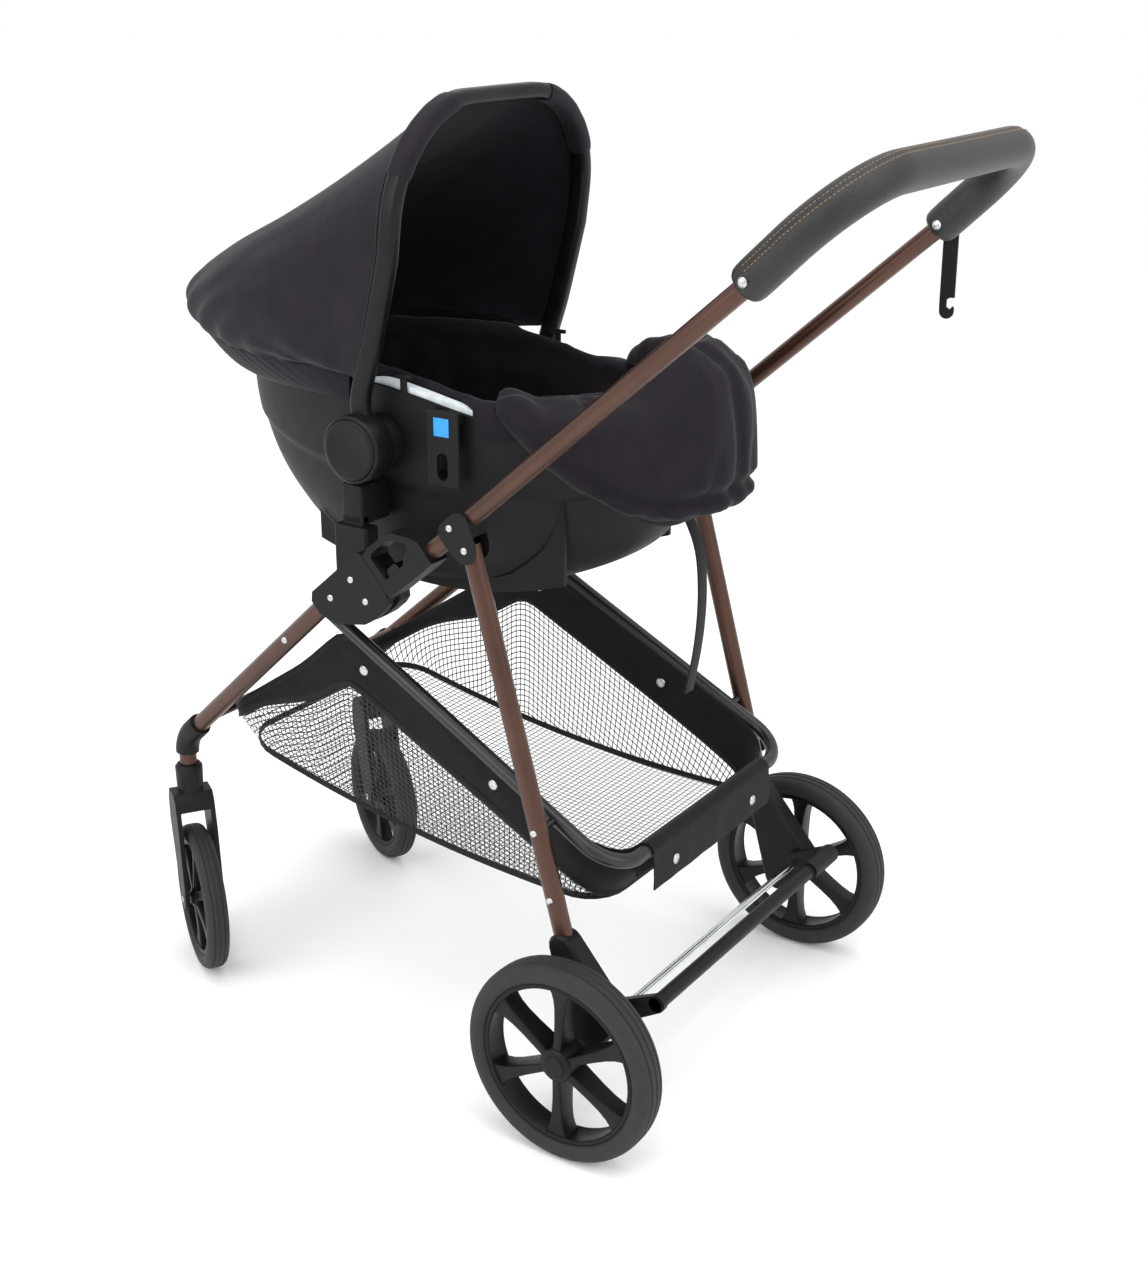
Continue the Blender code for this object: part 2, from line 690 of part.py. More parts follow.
def hook_bolt():
    """The bolt that the hook hangs on."""
    y, z = HOOK_TOP
    head = -HOOK_THICKNESS - 2 * RUN
    profile = [(0.0, 0.0), (0.0, PIN_R), (head, PIN_R), (head, 0.0065), (head - 0.002, 0.0060),
               (head - 0.0028, 0.0)]
    return lathe("hook_bolt", profile, steel, 12, (HOOK_X + RUN - GAP, y, z), solid=True)


# Rear frame

def rear_leg(side):
    """A straight tube, with a hole for its pivot pin."""
    low = along_rear_leg(REAR_LEG_LENGTH)
    high = along_rear_leg(-0.004)
    name = f"rear_leg_{side_name(side)}"
    leg = rod(name, (side * REAR_LEG_X, *high), (side * REAR_LEG_X, *low), REAR_LEG_R, bronze, sides=14)
    hole = rod("hole", (side * 0.20, *LEG_PIVOT), (side * 0.25, *LEG_PIVOT), PIN_R + RUN, bronze)
    return combine(leg, [hole], "DIFFERENCE")


FOOT_START = 0.438           # down the rear leg from its pivot


def rear_foot(side):
    """The plastic foot that holds the axle and the brake's pivot."""
    name = f"rear_foot_{side_name(side)}"
    top = along_rear_leg(FOOT_START)
    circles = [(REAR_AXLE_Y, REAR_WHEEL_R, 0.0170), (BRAKE_PIVOT_Y, BRAKE_PIVOT_Z, 0.0130), (*top, 0.0150)]
    half = REAR_FOOT_WIDTH / 2
    sides = mirrored(side, REAR_LEG_X - half, REAR_LEG_X + half)
    foot = prism(name, hull_of_circles(circles, 6), *sides, plastic)
    bevel = foot.modifiers.new("edge", "BEVEL")
    bevel.width = 0.003
    bevel.segments = 1
    bevel.limit_method = "ANGLE"
    bevel.angle_limit = math.radians(50)
    bpy.context.view_layer.update()
    apply_modifiers(foot)
    bore = rod("bore", (side * REAR_LEG_X, *along_rear_leg(FOOT_START - 0.05)),
               (side * REAR_LEG_X, *along_rear_leg(REAR_LEG_LENGTH + GAP)), REAR_LEG_R + GAP,
               plastic, sides=14)
    wide = mirrored(side, 0.19, 0.25)
    axle = rod("hole", (wide[0], REAR_AXLE_Y, REAR_WHEEL_R), (wide[1], REAR_AXLE_Y, REAR_WHEEL_R),
               AXLE_R + GAP, plastic)
    pivot = rod("hole", (wide[0], BRAKE_PIVOT_Y, BRAKE_PIVOT_Z), (wide[1], BRAKE_PIVOT_Y, BRAKE_PIVOT_Z),
                BRAKE_PIN_R + RUN, plastic)
    return combine(foot, [bore, axle, pivot], "DIFFERENCE")


def rear_axle():
    """The steel axle through both feet and both rear wheels."""
    reach = REAR_WHEEL_X + REAR_WHEEL_WIDTH * HUB_SHARE / 2 - HUB_CAP - GAP
    return rod("rear_axle", (-reach, REAR_AXLE_Y, REAR_WHEEL_R), (reach, REAR_AXLE_Y, REAR_WHEEL_R),
               AXLE_R, steel, chamfer=0.001)


def hook_knob():
    """The knob on the far rear leg that the transport hook catches when folded."""
    y, z = along_rear_leg(KNOB_ALONG)
    x = -(REAR_LEG_X + REAR_LEG_R + GAP)
    profile = [(0.0, 0.0), (0.0, 0.0045), (-0.0060, 0.0045), (-0.0062, 0.0085), (-0.0100, 0.0080),
               (-0.0112, 0.0)]
    return lathe("hook_knob", profile, plastic, 14, (x, y, z), solid=True)


def brake_bar():
    """A black bar on two arms, with a thin steel rod through both feet as its axis."""
    inner = REAR_LEG_X - REAR_FOOT_WIDTH / 2 - RUN
    arm_half = 0.0045
    arm_x = inner - arm_half
    bar = sweep("brake_bar", [(-arm_x, BRAKE_BAR_Y, BRAKE_BAR_Z), (arm_x, BRAKE_BAR_Y, BRAKE_BAR_Z)],
                ellipse(BRAKE_BAR_R, BRAKE_BAR_R, 12), plastic, side_hint=(0, 1, 0))
    outline = hull_of_circles([(BRAKE_PIVOT_Y, BRAKE_PIVOT_Z, 0.0125), (BRAKE_BAR_Y, BRAKE_BAR_Z, 0.0100)], 8)
    arms = [prism("arm", outline, *mirrored(side, arm_x - arm_half, arm_x + arm_half), plastic)
            for side in (1, -1)]
    sleeve = sweep("sleeve", [(-arm_x, BRAKE_BAR_Y, BRAKE_BAR_Z), (-arm_x + 0.060, BRAKE_BAR_Y, BRAKE_BAR_Z)],
                   ellipse(0.0115, 0.0115, 12), plastic, side_hint=(0, 1, 0))
    reach = REAR_LEG_X + REAR_FOOT_WIDTH / 2 + 0.001
    pin = rod("axis", (-reach, BRAKE_PIVOT_Y, BRAKE_PIVOT_Z), (reach, BRAKE_PIVOT_Y, BRAKE_PIVOT_Z),
              BRAKE_PIN_R, steel)
    return combine(bar, arms + [sleeve, pin], "UNION")


# Wheels

def tyre(name, centre, outer, depth, width):
    """A foam tyre with a rounded tread and a flat bed."""
    bed = outer - depth
    half = width / 2
    profile = [(-half * 0.72, bed), (-half, bed + depth * 0.38), (-half * 0.84, outer - depth * 0.18),
               (-half * 0.42, outer), (half * 0.42, outer), (half * 0.84, outer - depth * 0.18),
               (half, bed + depth * 0.38), (half * 0.72, bed)]
    return lathe(name, profile, rubber, WHEEL_STEPS, centre)


def rim(name, centre, tyre_bed, width, hub_r, spokes, bore_r, cap_side):
    """A moulded wheel: a band, spokes that widen outwards, and a hub with a raised cap."""
    outer, band = tyre_bed - GAP, 0.0055
    half = width / 2
    flat = half * 0.72
    profile = [(-flat, outer), (flat, outer), (flat, outer - band), (-flat, outer - band)]
    wheel = lathe(name, profile, plastic, WHEEL_STEPS, centre)
    hub_half = half * HUB_SHARE
    floor = hub_half - HUB_CAP
    hub = [(hub_half, 0.0), (hub_half, hub_r * 0.60), (hub_half - 0.0025, hub_r * 0.60),
           (hub_half - 0.0025, hub_r * 0.72), (hub_half, hub_r * 0.72), (hub_half, hub_r * 0.82),
           (hub_half * 0.86, hub_r), (-hub_half * 0.86, hub_r), (-hub_half, hub_r * 0.82),
           (-hub_half, bore_r), (floor, bore_r), (floor, 0.0)]
    hub = [(cap_side * a, r) for a, r in hub]
    if not cap_side:
        hub = [(-hub_half, bore_r), (-hub_half, hub_r * 0.82), (-hub_half * 0.86, hub_r),
               (hub_half * 0.86, hub_r), (hub_half, hub_r * 0.82), (hub_half, bore_r)]
    pieces = [lathe("hub", hub, plastic, 14, centre, solid=cap_side != 0)]
    reach = outer - band * 0.5
    for i in range(spokes):
        angle = 2 * math.pi * (i + 0.47) / spokes
        pieces.append(spoke(centre, angle, hub_r * 0.75, reach, width))
    return combine(wheel, pieces, "UNION")


def spoke(centre, angle, start, end, width):
    """One spoke, narrow at the hub and wide at the band."""
    bm = bmesh.new()
    out = Vector((0, math.cos(angle), math.sin(angle)))
    across = Vector((0, -math.sin(angle), math.cos(angle)))
    rings = []
    for t, half_wide, half_deep in ((0.0, 0.0042, 0.40), (0.7, 0.0060, 0.31), (1.0, 0.0135, 0.33)):
        origin = Vector(centre) + out * (start + (end - start) * t)
        rings.append([bm.verts.new(p) for p in
                      ring_points(rounded_box(half_wide, half_deep * width, 0.0025, 1), origin, across,
                                  Vector((1, 0, 0)))])
    skin(bm, rings)
    bm.faces.new(rings[0])
    bm.faces.new(rings[-1])
    return finish("spoke", bm, plastic)


def rear_wheel(side):
    """The rear tyre and its rim."""
    centre = (side * REAR_WHEEL_X, REAR_AXLE_Y, REAR_WHEEL_R)
    where = side_name(side)
    bed = REAR_WHEEL_R - REAR_TYRE_DEPTH
    return [tyre(f"rear_tyre_{where}", centre, REAR_WHEEL_R, REAR_TYRE_DEPTH, REAR_WHEEL_WIDTH),
            rim(f"rear_rim_{where}", centre, bed * math.cos(math.pi / WHEEL_STEPS), REAR_WHEEL_WIDTH,
                REAR_HUB_R, REAR_SPOKES, AXLE_R + RUN, side)]


def caster_yaw(side):
    """How far the caster is turned in the photograph."""
    return CASTER_YAW_NEAR if side > 0 else CASTER_YAW_FAR


def turned_caster(side, pieces):
    """Turns pieces built straight about the caster's upright."""
    pivot = Vector((side * CASTER_X, CASTER_Y, 0))
    turn = Matrix.Translation(pivot) @ Matrix.Rotation(caster_yaw(side), 4, "Z") @ Matrix.Translation(-pivot)
    for piece in pieces:
        piece.data.transform(turn)
    return pieces


def front_wheel(side):
    """The caster's tyre, its rim and the bolt through the fork."""
    centre = (side * CASTER_X, CASTER_Y + CASTER_TRAIL, FRONT_WHEEL_R)
    where = side_name(side)
    bed = FRONT_WHEEL_R - FRONT_TYRE_DEPTH
    made = [tyre(f"front_tyre_{where}", centre, FRONT_WHEEL_R, FRONT_TYRE_DEPTH, FRONT_WHEEL_WIDTH),
            rim(f"front_rim_{where}", centre, bed * math.cos(math.pi / WHEEL_STEPS), FRONT_WHEEL_WIDTH,
                FRONT_HUB_R, FRONT_SPOKES, AXLE_R + RUN, 0)]
    reach = FRONT_WHEEL_WIDTH / 2 + FORK_LEG_GAP + FORK_LEG_THICKNESS + RUN
    low, high = centre[0] - reach, centre[0] + reach
    made.append(rod(f"front_axle_{where}", (low, *centre[1:]), (high, *centre[1:]), AXLE_R, steel))
    return made


def caster_fork(side):
    """Two arms from a crown down to the wheel's bolt, and a head that turns on the stem."""
    x, y = side * CASTER_X, CASTER_Y
    half = FRONT_WHEEL_WIDTH / 2 + FORK_LEG_GAP + FORK_LEG_THICKNESS
    inner = FRONT_WHEEL_WIDTH / 2 + FORK_LEG_GAP
    centre_y = CASTER_Y + CASTER_TRAIL
    outline = [(y - 0.0190, FORK_CROWN_Z - 0.026), (y - 0.0190, FORK_CROWN_Z + 0.004),
               (y - 0.0130, FORK_CROWN_Z + 0.016), (y + 0.0130, FORK_CROWN_Z + 0.016),
               (y + 0.0210, FORK_CROWN_Z + 0.006), (y + 0.0300, FORK_CROWN_Z - 0.030),
               (centre_y + 0.0150, FRONT_WHEEL_R + 0.020)]
    outline += arc((centre_y, FRONT_WHEEL_R), 0.0130, 0.3, -math.pi - 0.3, 8)
    fork = prism(f"caster_fork_{side_name(side)}", outline, x - half, x + half, plastic)
    head = lathe("head", [(FORK_CROWN_Z, 0.0), (FORK_CROWN_Z, FORK_HEAD_R * 0.94),
                          (FORK_HEAD_TOP - 0.004, FORK_HEAD_R), (FORK_HEAD_TOP, FORK_HEAD_R - 0.003),
                          (FORK_HEAD_TOP, 0.0)], plastic, 18, (x, y, 0), "Z", solid=True)
    combine(fork, [head], "UNION")
    room = box("room", (x - inner, x + inner), (y - 0.06, centre_y + 0.06),
               (0.0, FORK_CROWN_Z - 0.006), plastic)
    stem = rod("bore", (x, y, STEM_LOW_Z - GAP), (x, y, FORK_HEAD_TOP + 0.02), FRONT_LEG_R + RUN,
               plastic, sides=16)
    bolt = rod("hole", (x - half - 0.01, centre_y, FRONT_WHEEL_R), (x + half + 0.01, centre_y, FRONT_WHEEL_R),
               AXLE_R + GAP, plastic)
    return combine(fork, [room, stem, bolt], "DIFFERENCE")


# Basket

def basket_path():
    """The near half of the basket's hoop, from its pivot to the middle of the rear bar."""
    front = Vector((BASKET_FRONT_X, BASKET_PIVOT.y, BASKET_PIVOT.z))
    rear_yz = Vector((0, BASKET_HOLE[0], BASKET_HOLE[1]))
    slope = (rear_yz - Vector((0, front.y, front.z))).normalized()
    corner = rear_yz + slope * BASKET_OVERHANG
    corner.x = BASKET_REAR_X
    return [front] + bend(corner, front, (0, corner.y, corner.z), BASKET_CORNER_R, 6)


def basket_frame():
    """The hoop that the basket hangs on, with pins into the front legs and up to the rear legs."""
    near = basket_path()
    front = near[0]
    ahead = (near[0] - near[1]).normalized()
    near = [front + ahead * 0.010] + near
    path = near + [Vector((-p.x, p.y, p.z)) for p in reversed(near)]
    normal = (0, -ahead.z, ahead.y)
    frame = sweep("basket_frame", path, ellipse(BASKET_TUBE_R, BASKET_TUBE_R, 12), black_tube, normal)
    pins = []
    for side in (1, -1):
        y, z = BASKET_PIVOT.y, BASKET_PIVOT.z
        front_end = BASKET_PIVOT.x - 0.0015
        rear_end = REAR_LEG_X - REAR_LEG_R - RUN
        pins.append(rod("pin", (side * BASKET_FRONT_X, y, z), (side * front_end, y, z), PIN_R, black_tube))
        pins.append(rod("pin", (side * (BASKET_REAR_X - 0.004), *BASKET_HOLE), (side * rear_end, *BASKET_HOLE),
                        PIN_R, black_tube))
    return combine(frame, pins, "UNION")


# Tubs: the basket's bag and the nested shells of the car seat

def tub(name, loop, levels, place, wall, look):
    """An open tub, or with no wall a solid one. place(point, scale, depth, offset) gives the surface."""
    bm = bmesh.new()
    sides = []
    for offset in (0.0, wall) if wall else (0.0,):
        rings = [[bm.verts.new(place(point, scale, depth, offset)) for point in loop]
                 for scale, depth in levels]
        skin(bm, rings)
        sides.append(rings)
    if wall:
        skin(bm, [sides[0][0], sides[1][0]])
    count = len(loop)
    for ring in [sides[0][-1], sides[1][-1] if wall else sides[0][0]]:
        for i in range(count // 2):
            corners = [ring[i], ring[i + 1], ring[(count - i - 1) % count], ring[(count - i) % count]]
            corners = [v for k, v in enumerate(corners) if v not in corners[:k]]
            bm.faces.new(corners)
    return finish(name, bm, look)


def bag_loop():
    """The bag's rim seen from above, from the middle of the front hem round to it again."""
    front_y = (LEG_TOP + LEG_DIRECTION * CROSS_BAR_ALONG).y + CROSS_BAR_R + GAP
    rear = basket_path()[-1]
    rear_y = rear.y - BASKET_TUBE_R - GAP
    count = 14
    near = [(0.0, front_y), (0.08, front_y)]
    for i in range(count + 1):
        t = i / count
        y = front_y + (rear_y - front_y) * t
        tube_x = BASKET_FRONT_X + (BASKET_REAR_X - BASKET_FRONT_X) * t
        x = tube_x - BASKET_TUBE_R - 0.0025
        corner = BASKET_CORNER_R + 0.004
        pull = max(corner - (y - front_y), 0, corner - (rear_y - y))
        near.append((x - corner + math.sqrt(max(corner ** 2 - pull ** 2, 0.0)) * 0.999, y))
    near += [(0.08, rear_y), (0.0, rear_y)]
    return near + [(-x, y) for x, y in near[-2:0:-1]]


def rim_height(y):
    """The height of the basket's upper edge at a given Y."""
    low = (LEG_TOP + LEG_DIRECTION * CROSS_BAR_ALONG)
    front, rear = BASKET_PIVOT, basket_path()[-1]
    knots = [(low.y, low.z), (front.y - 0.045, front.z - 0.075), (front.y + 0.02, front.z - 0.018),
             (rear.y, rear.z)]
    for (y0, z0), (y1, z1) in zip(knots, knots[1:]):
        if y <= y1:
            return z0 + (z1 - z0) * (y - y0) / (y1 - y0)
    return rear.z


def basket_bag():
    """The cloth and net bag that hangs in the basket's hoop."""
    loop = bag_loop()
    middle = (loop[0][1] + loop[len(loop) // 2][1]) / 2
    half = (loop[len(loop) // 2][1] - loop[0][1]) / 2
    levels = [(1.0, 0.0), (0.985, 0.35), (0.955, 0.75), (0.90, 0.93), (0.78, 1.0)]

    def place(point, scale, depth, offset):
        x, y = point
        rim = rim_height(y)
        x = math.copysign(max(abs(x) - offset, 0.0), x) * scale if x else 0.0
        inward = (half - offset) / half
        y = middle + (y - middle) * scale * inward
        floor = BAG_FLOOR_FRONT_Z + (BAG_FLOOR_REAR_Z - BAG_FLOOR_FRONT_Z) * (y - middle + half) / (2 * half)
        floor -= BAG_SAG * (1 - ((y - middle) / half) ** 2)
        top = rim - 0.004
        return Vector((x, y, top + (floor + offset - top) * depth))

    return tub("basket_bag", loop, levels, place, BAG_WALL, net)


SEAT_LEVELS = [(1.0, 0.0), (0.990, 0.32), (0.962, 0.58), (0.915, 0.77), (0.84, 0.90), (0.72, 0.975),
               (0.55, 1.0)]


def seat_loop(count=28):
    """Directions round the seat's rim as (across, along) shares, from the head end."""
    loop = []
    for i in range(count):
        angle = 2 * math.pi * i / count
        across, along = math.sin(angle), -math.cos(angle)
        loop.append((math.copysign(abs(across) ** 0.90, across) if abs(across) > 1e-9 else 0.0, along))
    return loop


def seat_floor(y):
    """The height of the shell's underside at a given Y."""
    return SEAT_LOW_Z + (y - SEAT_ROCKER_Y) ** 2 / (2 * SEAT_ROCKER_R)


def seat_rim(y):
    """The height of the shell's upper edge at a given Y."""
    knots = [(SEAT_HEAD_Y - 0.05, 0.768), (-0.20, 0.775), (-0.085, 0.776), (-0.035, 0.768), (0.045, 0.751),
             (0.120, 0.757), (SEAT_FOOT_Y + 0.05, 0.765)]
    for (y0, z0), (y1, z1) in zip(knots, knots[1:]):
        if y <= y1:
            return z0 + (z1 - z0) * (y - y0) / (y1 - y0)
    return knots[-1][1]


def seat_tub(name, inset, wall, rise, look, bump=None, levels=SEAT_LEVELS):
    """One of the nested tubs: inset from the shell's outside, its edge raised by rise."""
    def place(point, scale, depth, offset):
        inward = inset + offset
        across, along = point
        y_share = along * scale
        reach = SEAT_FOOT_Y - SEAT_WIDEST_Y if along > 0 else SEAT_WIDEST_Y - SEAT_HEAD_Y
        y = SEAT_WIDEST_Y + y_share * (reach - inward)
        rim = seat_rim(SEAT_WIDEST_Y + along * reach) + rise
        z = rim + (seat_floor(y) + inward - rim) * depth
        x = across * (SEAT_HALF_WIDTH - inward) * scale
        if bump and offset:
            x, y, z = bump(x, y, z, scale, depth)
        return Vector((x, y, z))

    return tub(name, seat_loop(), levels, place, wall, look)


def shell_height(x, y):
    """The height of the shell's outer surface over a point (x, y) of the plan."""
    reach = SEAT_FOOT_Y - SEAT_WIDEST_Y if y > SEAT_WIDEST_Y else SEAT_WIDEST_Y - SEAT_HEAD_Y
    along_y = (y - SEAT_WIDEST_Y) / reach
    low, high = 0.3, 1.0
    for _ in range(30):
        scale = (low + high) / 2
        share = (x / (SEAT_HALF_WIDTH * scale)) ** (2 / 0.90) + (along_y / scale) ** 2
        low, high = (scale, high) if share > 1 else (low, scale)
    for (s0, d0), (s1, d1) in zip(SEAT_LEVELS, SEAT_LEVELS[1:]):
        if scale >= s1:
            depth = d0 + (d1 - d0) * (scale - s0) / (s1 - s0)
            break
    rim = seat_rim(y)
    return rim + (seat_floor(y) - rim) * depth


def seat_shell():
    """The moulded shell, with hub bosses, pivot pins, lugs for the frame and a foot ledge."""
    shell = seat_tub("seat_shell", 0.0, SHELL_WALL, 0.0, plastic)
    parts, whole = [], []
    for side in (1, -1):
        root, face, tip = SEAT_HALF_WIDTH - BOSS_ROOT, EYE_IN_X - GAP, BUTTON_FLOOR_X - 0.001
        profile = [(root, 0.0), (root, 0.0300), (face, 0.0270), (face, PIVOT_R), (tip, PIVOT_R), (tip, 0.0)]
        profile = [(side * a, r) for a, r in profile]
        boss = lathe("boss", profile, plastic, 16, (0, HUB_Y, HUB_Z), solid=True)
        lug = box("lug", mirrored(side, SEAT_HALF_WIDTH - LUG_ROOT, TONGUE_X[1]), TONGUE_Y,
                  (ADAPTER_Z[1] + GAP, HUB_Z - HUB_R - 0.004), plastic, 0.002)
        tongue = box("tongue", mirrored(side, *TONGUE_X), TONGUE_Y,
                     (ADAPTER_Z[1] - LIFT_TONGUE * 0.5 + RUN, ADAPTER_Z[1] + 0.010), plastic)
        outside = SEAT_HALF_WIDTH
        post = box("post", mirrored(side, outside - 0.0038, outside - 0.0008), (-0.061, -0.053),
                   (0.765, 0.789), plastic)
        bar = box("bar", mirrored(side, outside - 0.0045, outside), (-0.068, -0.046), (0.787, 0.7915), plastic)
        parts += [boss, lug]
        whole += [tongue, post, bar]
    steps = 8
    ys = [ROCKER_Y[0] + (ROCKER_Y[1] - ROCKER_Y[0]) * i / steps for i in range(steps + 1)]
    outline = [(y, seat_floor(y)) for y in ys]
    outline += [(y, shell_height(ROCKER_X - ROCKER_WALL / 2, y) + 0.001) for y in reversed(ys)]
    for side in (1, -1):
        parts.append(prism("rocker", outline, *mirrored(side, ROCKER_X - ROCKER_WALL, ROCKER_X), plastic))
    for part in parts:
        combine(part, [seat_tub("core", SHELL_WALL * 0.5, 0.0, 0.0, plastic)], "DIFFERENCE")
    return combine(shell, parts + whole, "UNION")


def quilt(x, y, z, scale, depth):
    """Sewn channels on the cover's inner face."""
    wave = 0.0022 * (1 - abs(math.cos(math.pi * y / 0.055))) * min(1.0, depth * 4)
    return x * (1 + wave * 2), y, z - wave * 0.6


def insert_form(x, y, z, scale, depth):
    """The crown of the body insert: fuller at the sides, with channels across."""
    wave = 0.0030 * abs(math.sin(math.pi * y / 0.070)) * min(1.0, depth * 2)
    return x * (1 - wave * 3), y, z + wave


def belt_guide(side):
    """A lap belt guide on the shell's side: a plate on two feet with an oval hole."""
    low_y, high_y, low_z, high_z = -0.018, 0.025, 0.679, 0.762
    wall_x = SEAT_HALF_WIDTH + GAP
    lean = 0.028 * SEAT_HALF_WIDTH
    plate = box(f"belt_guide_{side_name(side)}", mirrored(side, wall_x + 0.0075, wall_x + 0.0120),
                (low_y, high_y), (low_z, high_z), plastic, 0.0015)
    feet = [box("foot", mirrored(side, wall_x, wall_x + 0.0090), (low_y + 0.002, high_y - 0.002),
                (high_z - 0.012, high_z - 0.002), plastic),
            box("foot", mirrored(side, wall_x - lean, wall_x + 0.0090), (low_y + 0.002, low_y + 0.012),
                (low_z + 0.004, low_z + 0.012), plastic)]
    combine(plate, feet, "UNION")
    centre_y, centre_z = (low_y + high_y) / 2, low_z + 0.022
    outline = arc((centre_y, centre_z + 0.008), 0.0070, 0, math.pi, 6)
    outline += arc((centre_y, centre_z - 0.008), 0.0070, math.pi, 2 * math.pi, 6)
    hole = prism("hole", outline, *mirrored(side, wall_x + 0.004, wall_x + 0.02), plastic)
    return combine(plate, [hole], "DIFFERENCE")


def apron():
    """The padded foot cover: it lies on the rim at the foot end and hangs outside it."""
    bm = bmesh.new()
    rings = []
    count = 20
    span = math.radians(66)
    for i in range(count + 1):
        turn = -span + 2 * span * i / count
        full = math.cos(turn) ** 0.55
        across, along = math.sin(turn), math.cos(turn)
        across = math.copysign(abs(across) ** 0.90, across) if abs(across) > 1e-9 else 0.0
        reach = SEAT_FOOT_Y - SEAT_WIDEST_Y
        y_rim = SEAT_WIDEST_Y + along * reach
        rim = seat_rim(y_rim) + COVER_RISE + 6 * GAP
        seam = 0.0035 * (1 - min(1.0, abs(math.sin(turn * 4.2)) * 3.0))
        crest = rim + 0.012 + 0.045 * full
        bulge = 0.014 + 0.036 * full - seam
        hem = 0.735 - 0.075 * full
        inside = SHELL_WALL + FOAM_WALL + COVER_WALL
        section = [(-inside, rim), (-inside - 0.008, rim + 0.010), (-inside + 0.002, crest - 0.012),
                   (-inside * 0.4, crest), (0.006, crest - 0.004), (bulge * 0.62, crest - 0.024),
                   (bulge * 0.92, (crest + 0.735) / 2), (bulge, 0.735),
                   (bulge * 0.96, (0.735 + hem) / 2 + 0.006),
                   (bulge * 0.86, hem + 0.018), (bulge * 0.94, hem + 0.010), (bulge * 0.86, hem + 0.001),
                   (bulge * 0.60, hem - 0.004), (bulge * 0.30, hem), (0.0030, hem + 0.012),
                   (0.0022, hem + 0.030), (0.0022, rim)]
        ring = []
        for out, z in section:
            x = across * (SEAT_HALF_WIDTH + out)
            y = SEAT_WIDEST_Y + along * (reach + out)
            ring.append(bm.verts.new((x, y, z)))
        rings.append(ring)
    skin(bm, rings)
    bm.faces.new(rings[0])
    bm.faces.new(rings[-1])
    return finish("foot_apron", bm, fabric)


def inner_floor(y, above):
    """Height over the body insert's inner floor."""
    return seat_floor(y) + INSERT_INSET + INSERT_WALL + above


def harness():
    """Shoulder straps, hip straps and crotch strap, sewn together."""
    strap = [(-0.0125, -0.0012), (0.0125, -0.0012), (0.0125, 0.0012), (-0.0125, 0.0012)]
    made = []
    for side in (1, -1):
        ys = [-0.156 + 0.0185 * i for i in range(7)]
        path = [(side * (0.034 - 0.024 * i / 6), y, inner_floor(y, 0.0072 + 0.0088 * i / 6))
                for i, y in enumerate(ys)]
        made.append(sweep("strap", path, strap, webbing))
        reach = SEAT_HALF_WIDTH * HIP_SHARE - 0.010
        hip = [(side * (0.010 + reach * t), -0.052 + 0.020 * t * t, inner_floor(-0.052, 0.014 - 0.007 * t))
               for t in (0.0, 0.35, 0.7, 1.0)]
        made.append(sweep("hip", hip, strap, webbing, side_hint=(0, 1, 0)))
    joined = box("harness", (-0.024, 0.024), (-0.066, -0.044),
                 (inner_floor(-0.055, 0.0125), inner_floor(-0.055, 0.0185)), webbing, 0.001)
    combine(joined, made, "UNION")
    crotch = [(0, y, inner_floor(y, 0.0040 + 0.0096 * (1 - i / 4)))
              for i, y in enumerate((-0.050, -0.022, 0.006, 0.034, 0.055))]
    return combine(joined, [sweep("crotch", crotch, strap, webbing)], "UNION")


def buckle():
    """The buckle's plastic body, with a recess for its button."""
    base = inner_floor(-0.055, 0.0185) + GAP
    body = box("buckle", (-0.021, 0.021), (-0.082, -0.028), (base, base + 0.014), plastic, 0.004)
    room = box("room", (-0.0115, 0.0115), (-0.0665, -0.0435), (base + 0.0060, base + 0.03), plastic)
    return combine(body, [room], "DIFFERENCE")


def buckle_button():
    """The square release button."""
    base = inner_floor(-0.055, 0.0185) + GAP
    return box("buckle_button", (-0.0110, 0.0110), (-0.0660, -0.0440), (base + 0.0095, base + 0.0155),
               plastic, 0.0012)


def carry_path():
    """The carry handle's centre line over the seat, from one hub to the other."""
    low = Vector((CARRY_X, HUB_Y, HUB_Z + 0.028))
    knots = [low, Vector((CARRY_X, -0.0920, 0.770)), Vector((CARRY_X, -0.0740, 0.826)),
             Vector((CARRY_X, -0.0495, 0.917))]
    near = smooth_path(knots, 2)
    corner = Vector((CARRY_X, -0.0290, CARRY_TOP_Z - CARRY_THICKNESS / 2))
    turned = bend(corner, near[-1], (0, corner.y - 0.006, corner.z), CARRY_CORNER_R, 7)
    near += turned
    top = Vector((0.0, turned[-1].y - 0.002, turned[-1].z))
    return near + [top] + [Vector((-p.x, p.y, p.z)) for p in reversed(near)]


def carry_section(grow=0.0):
    """The bow's section, or one around it."""
    return rounded_box(CARRY_WIDTH / 2 + grow, CARRY_THICKNESS / 2 + grow, 0.0065 + grow, 1)


def carry_handle():
    """The bow over the seat, with a round housing at each hub."""
    bow = sweep("carry_handle", carry_path(), carry_section(), plastic, side_hint=(0, 1, 0))
    eyes = []
    for side in (1, -1):
        profile = [(EYE_IN_X, PIVOT_R + RUN), (EYE_IN_X, HUB_R - 0.0015), (EYE_IN_X + 0.0015, HUB_R),
                   (EYE_OUT_X - 0.0020, HUB_R), (EYE_OUT_X, HUB_R - 0.0020), (EYE_OUT_X, BUTTON_R + RUN),
                   (BUTTON_FLOOR_X, BUTTON_R + RUN), (BUTTON_FLOOR_X, PIVOT_R + RUN)]
        profile = [(side * a, r) for a, r in profile]
        eyes.append(lathe("eye", profile, plastic, 24, (0, HUB_Y, HUB_Z)))
    return combine(bow, eyes, "UNION")


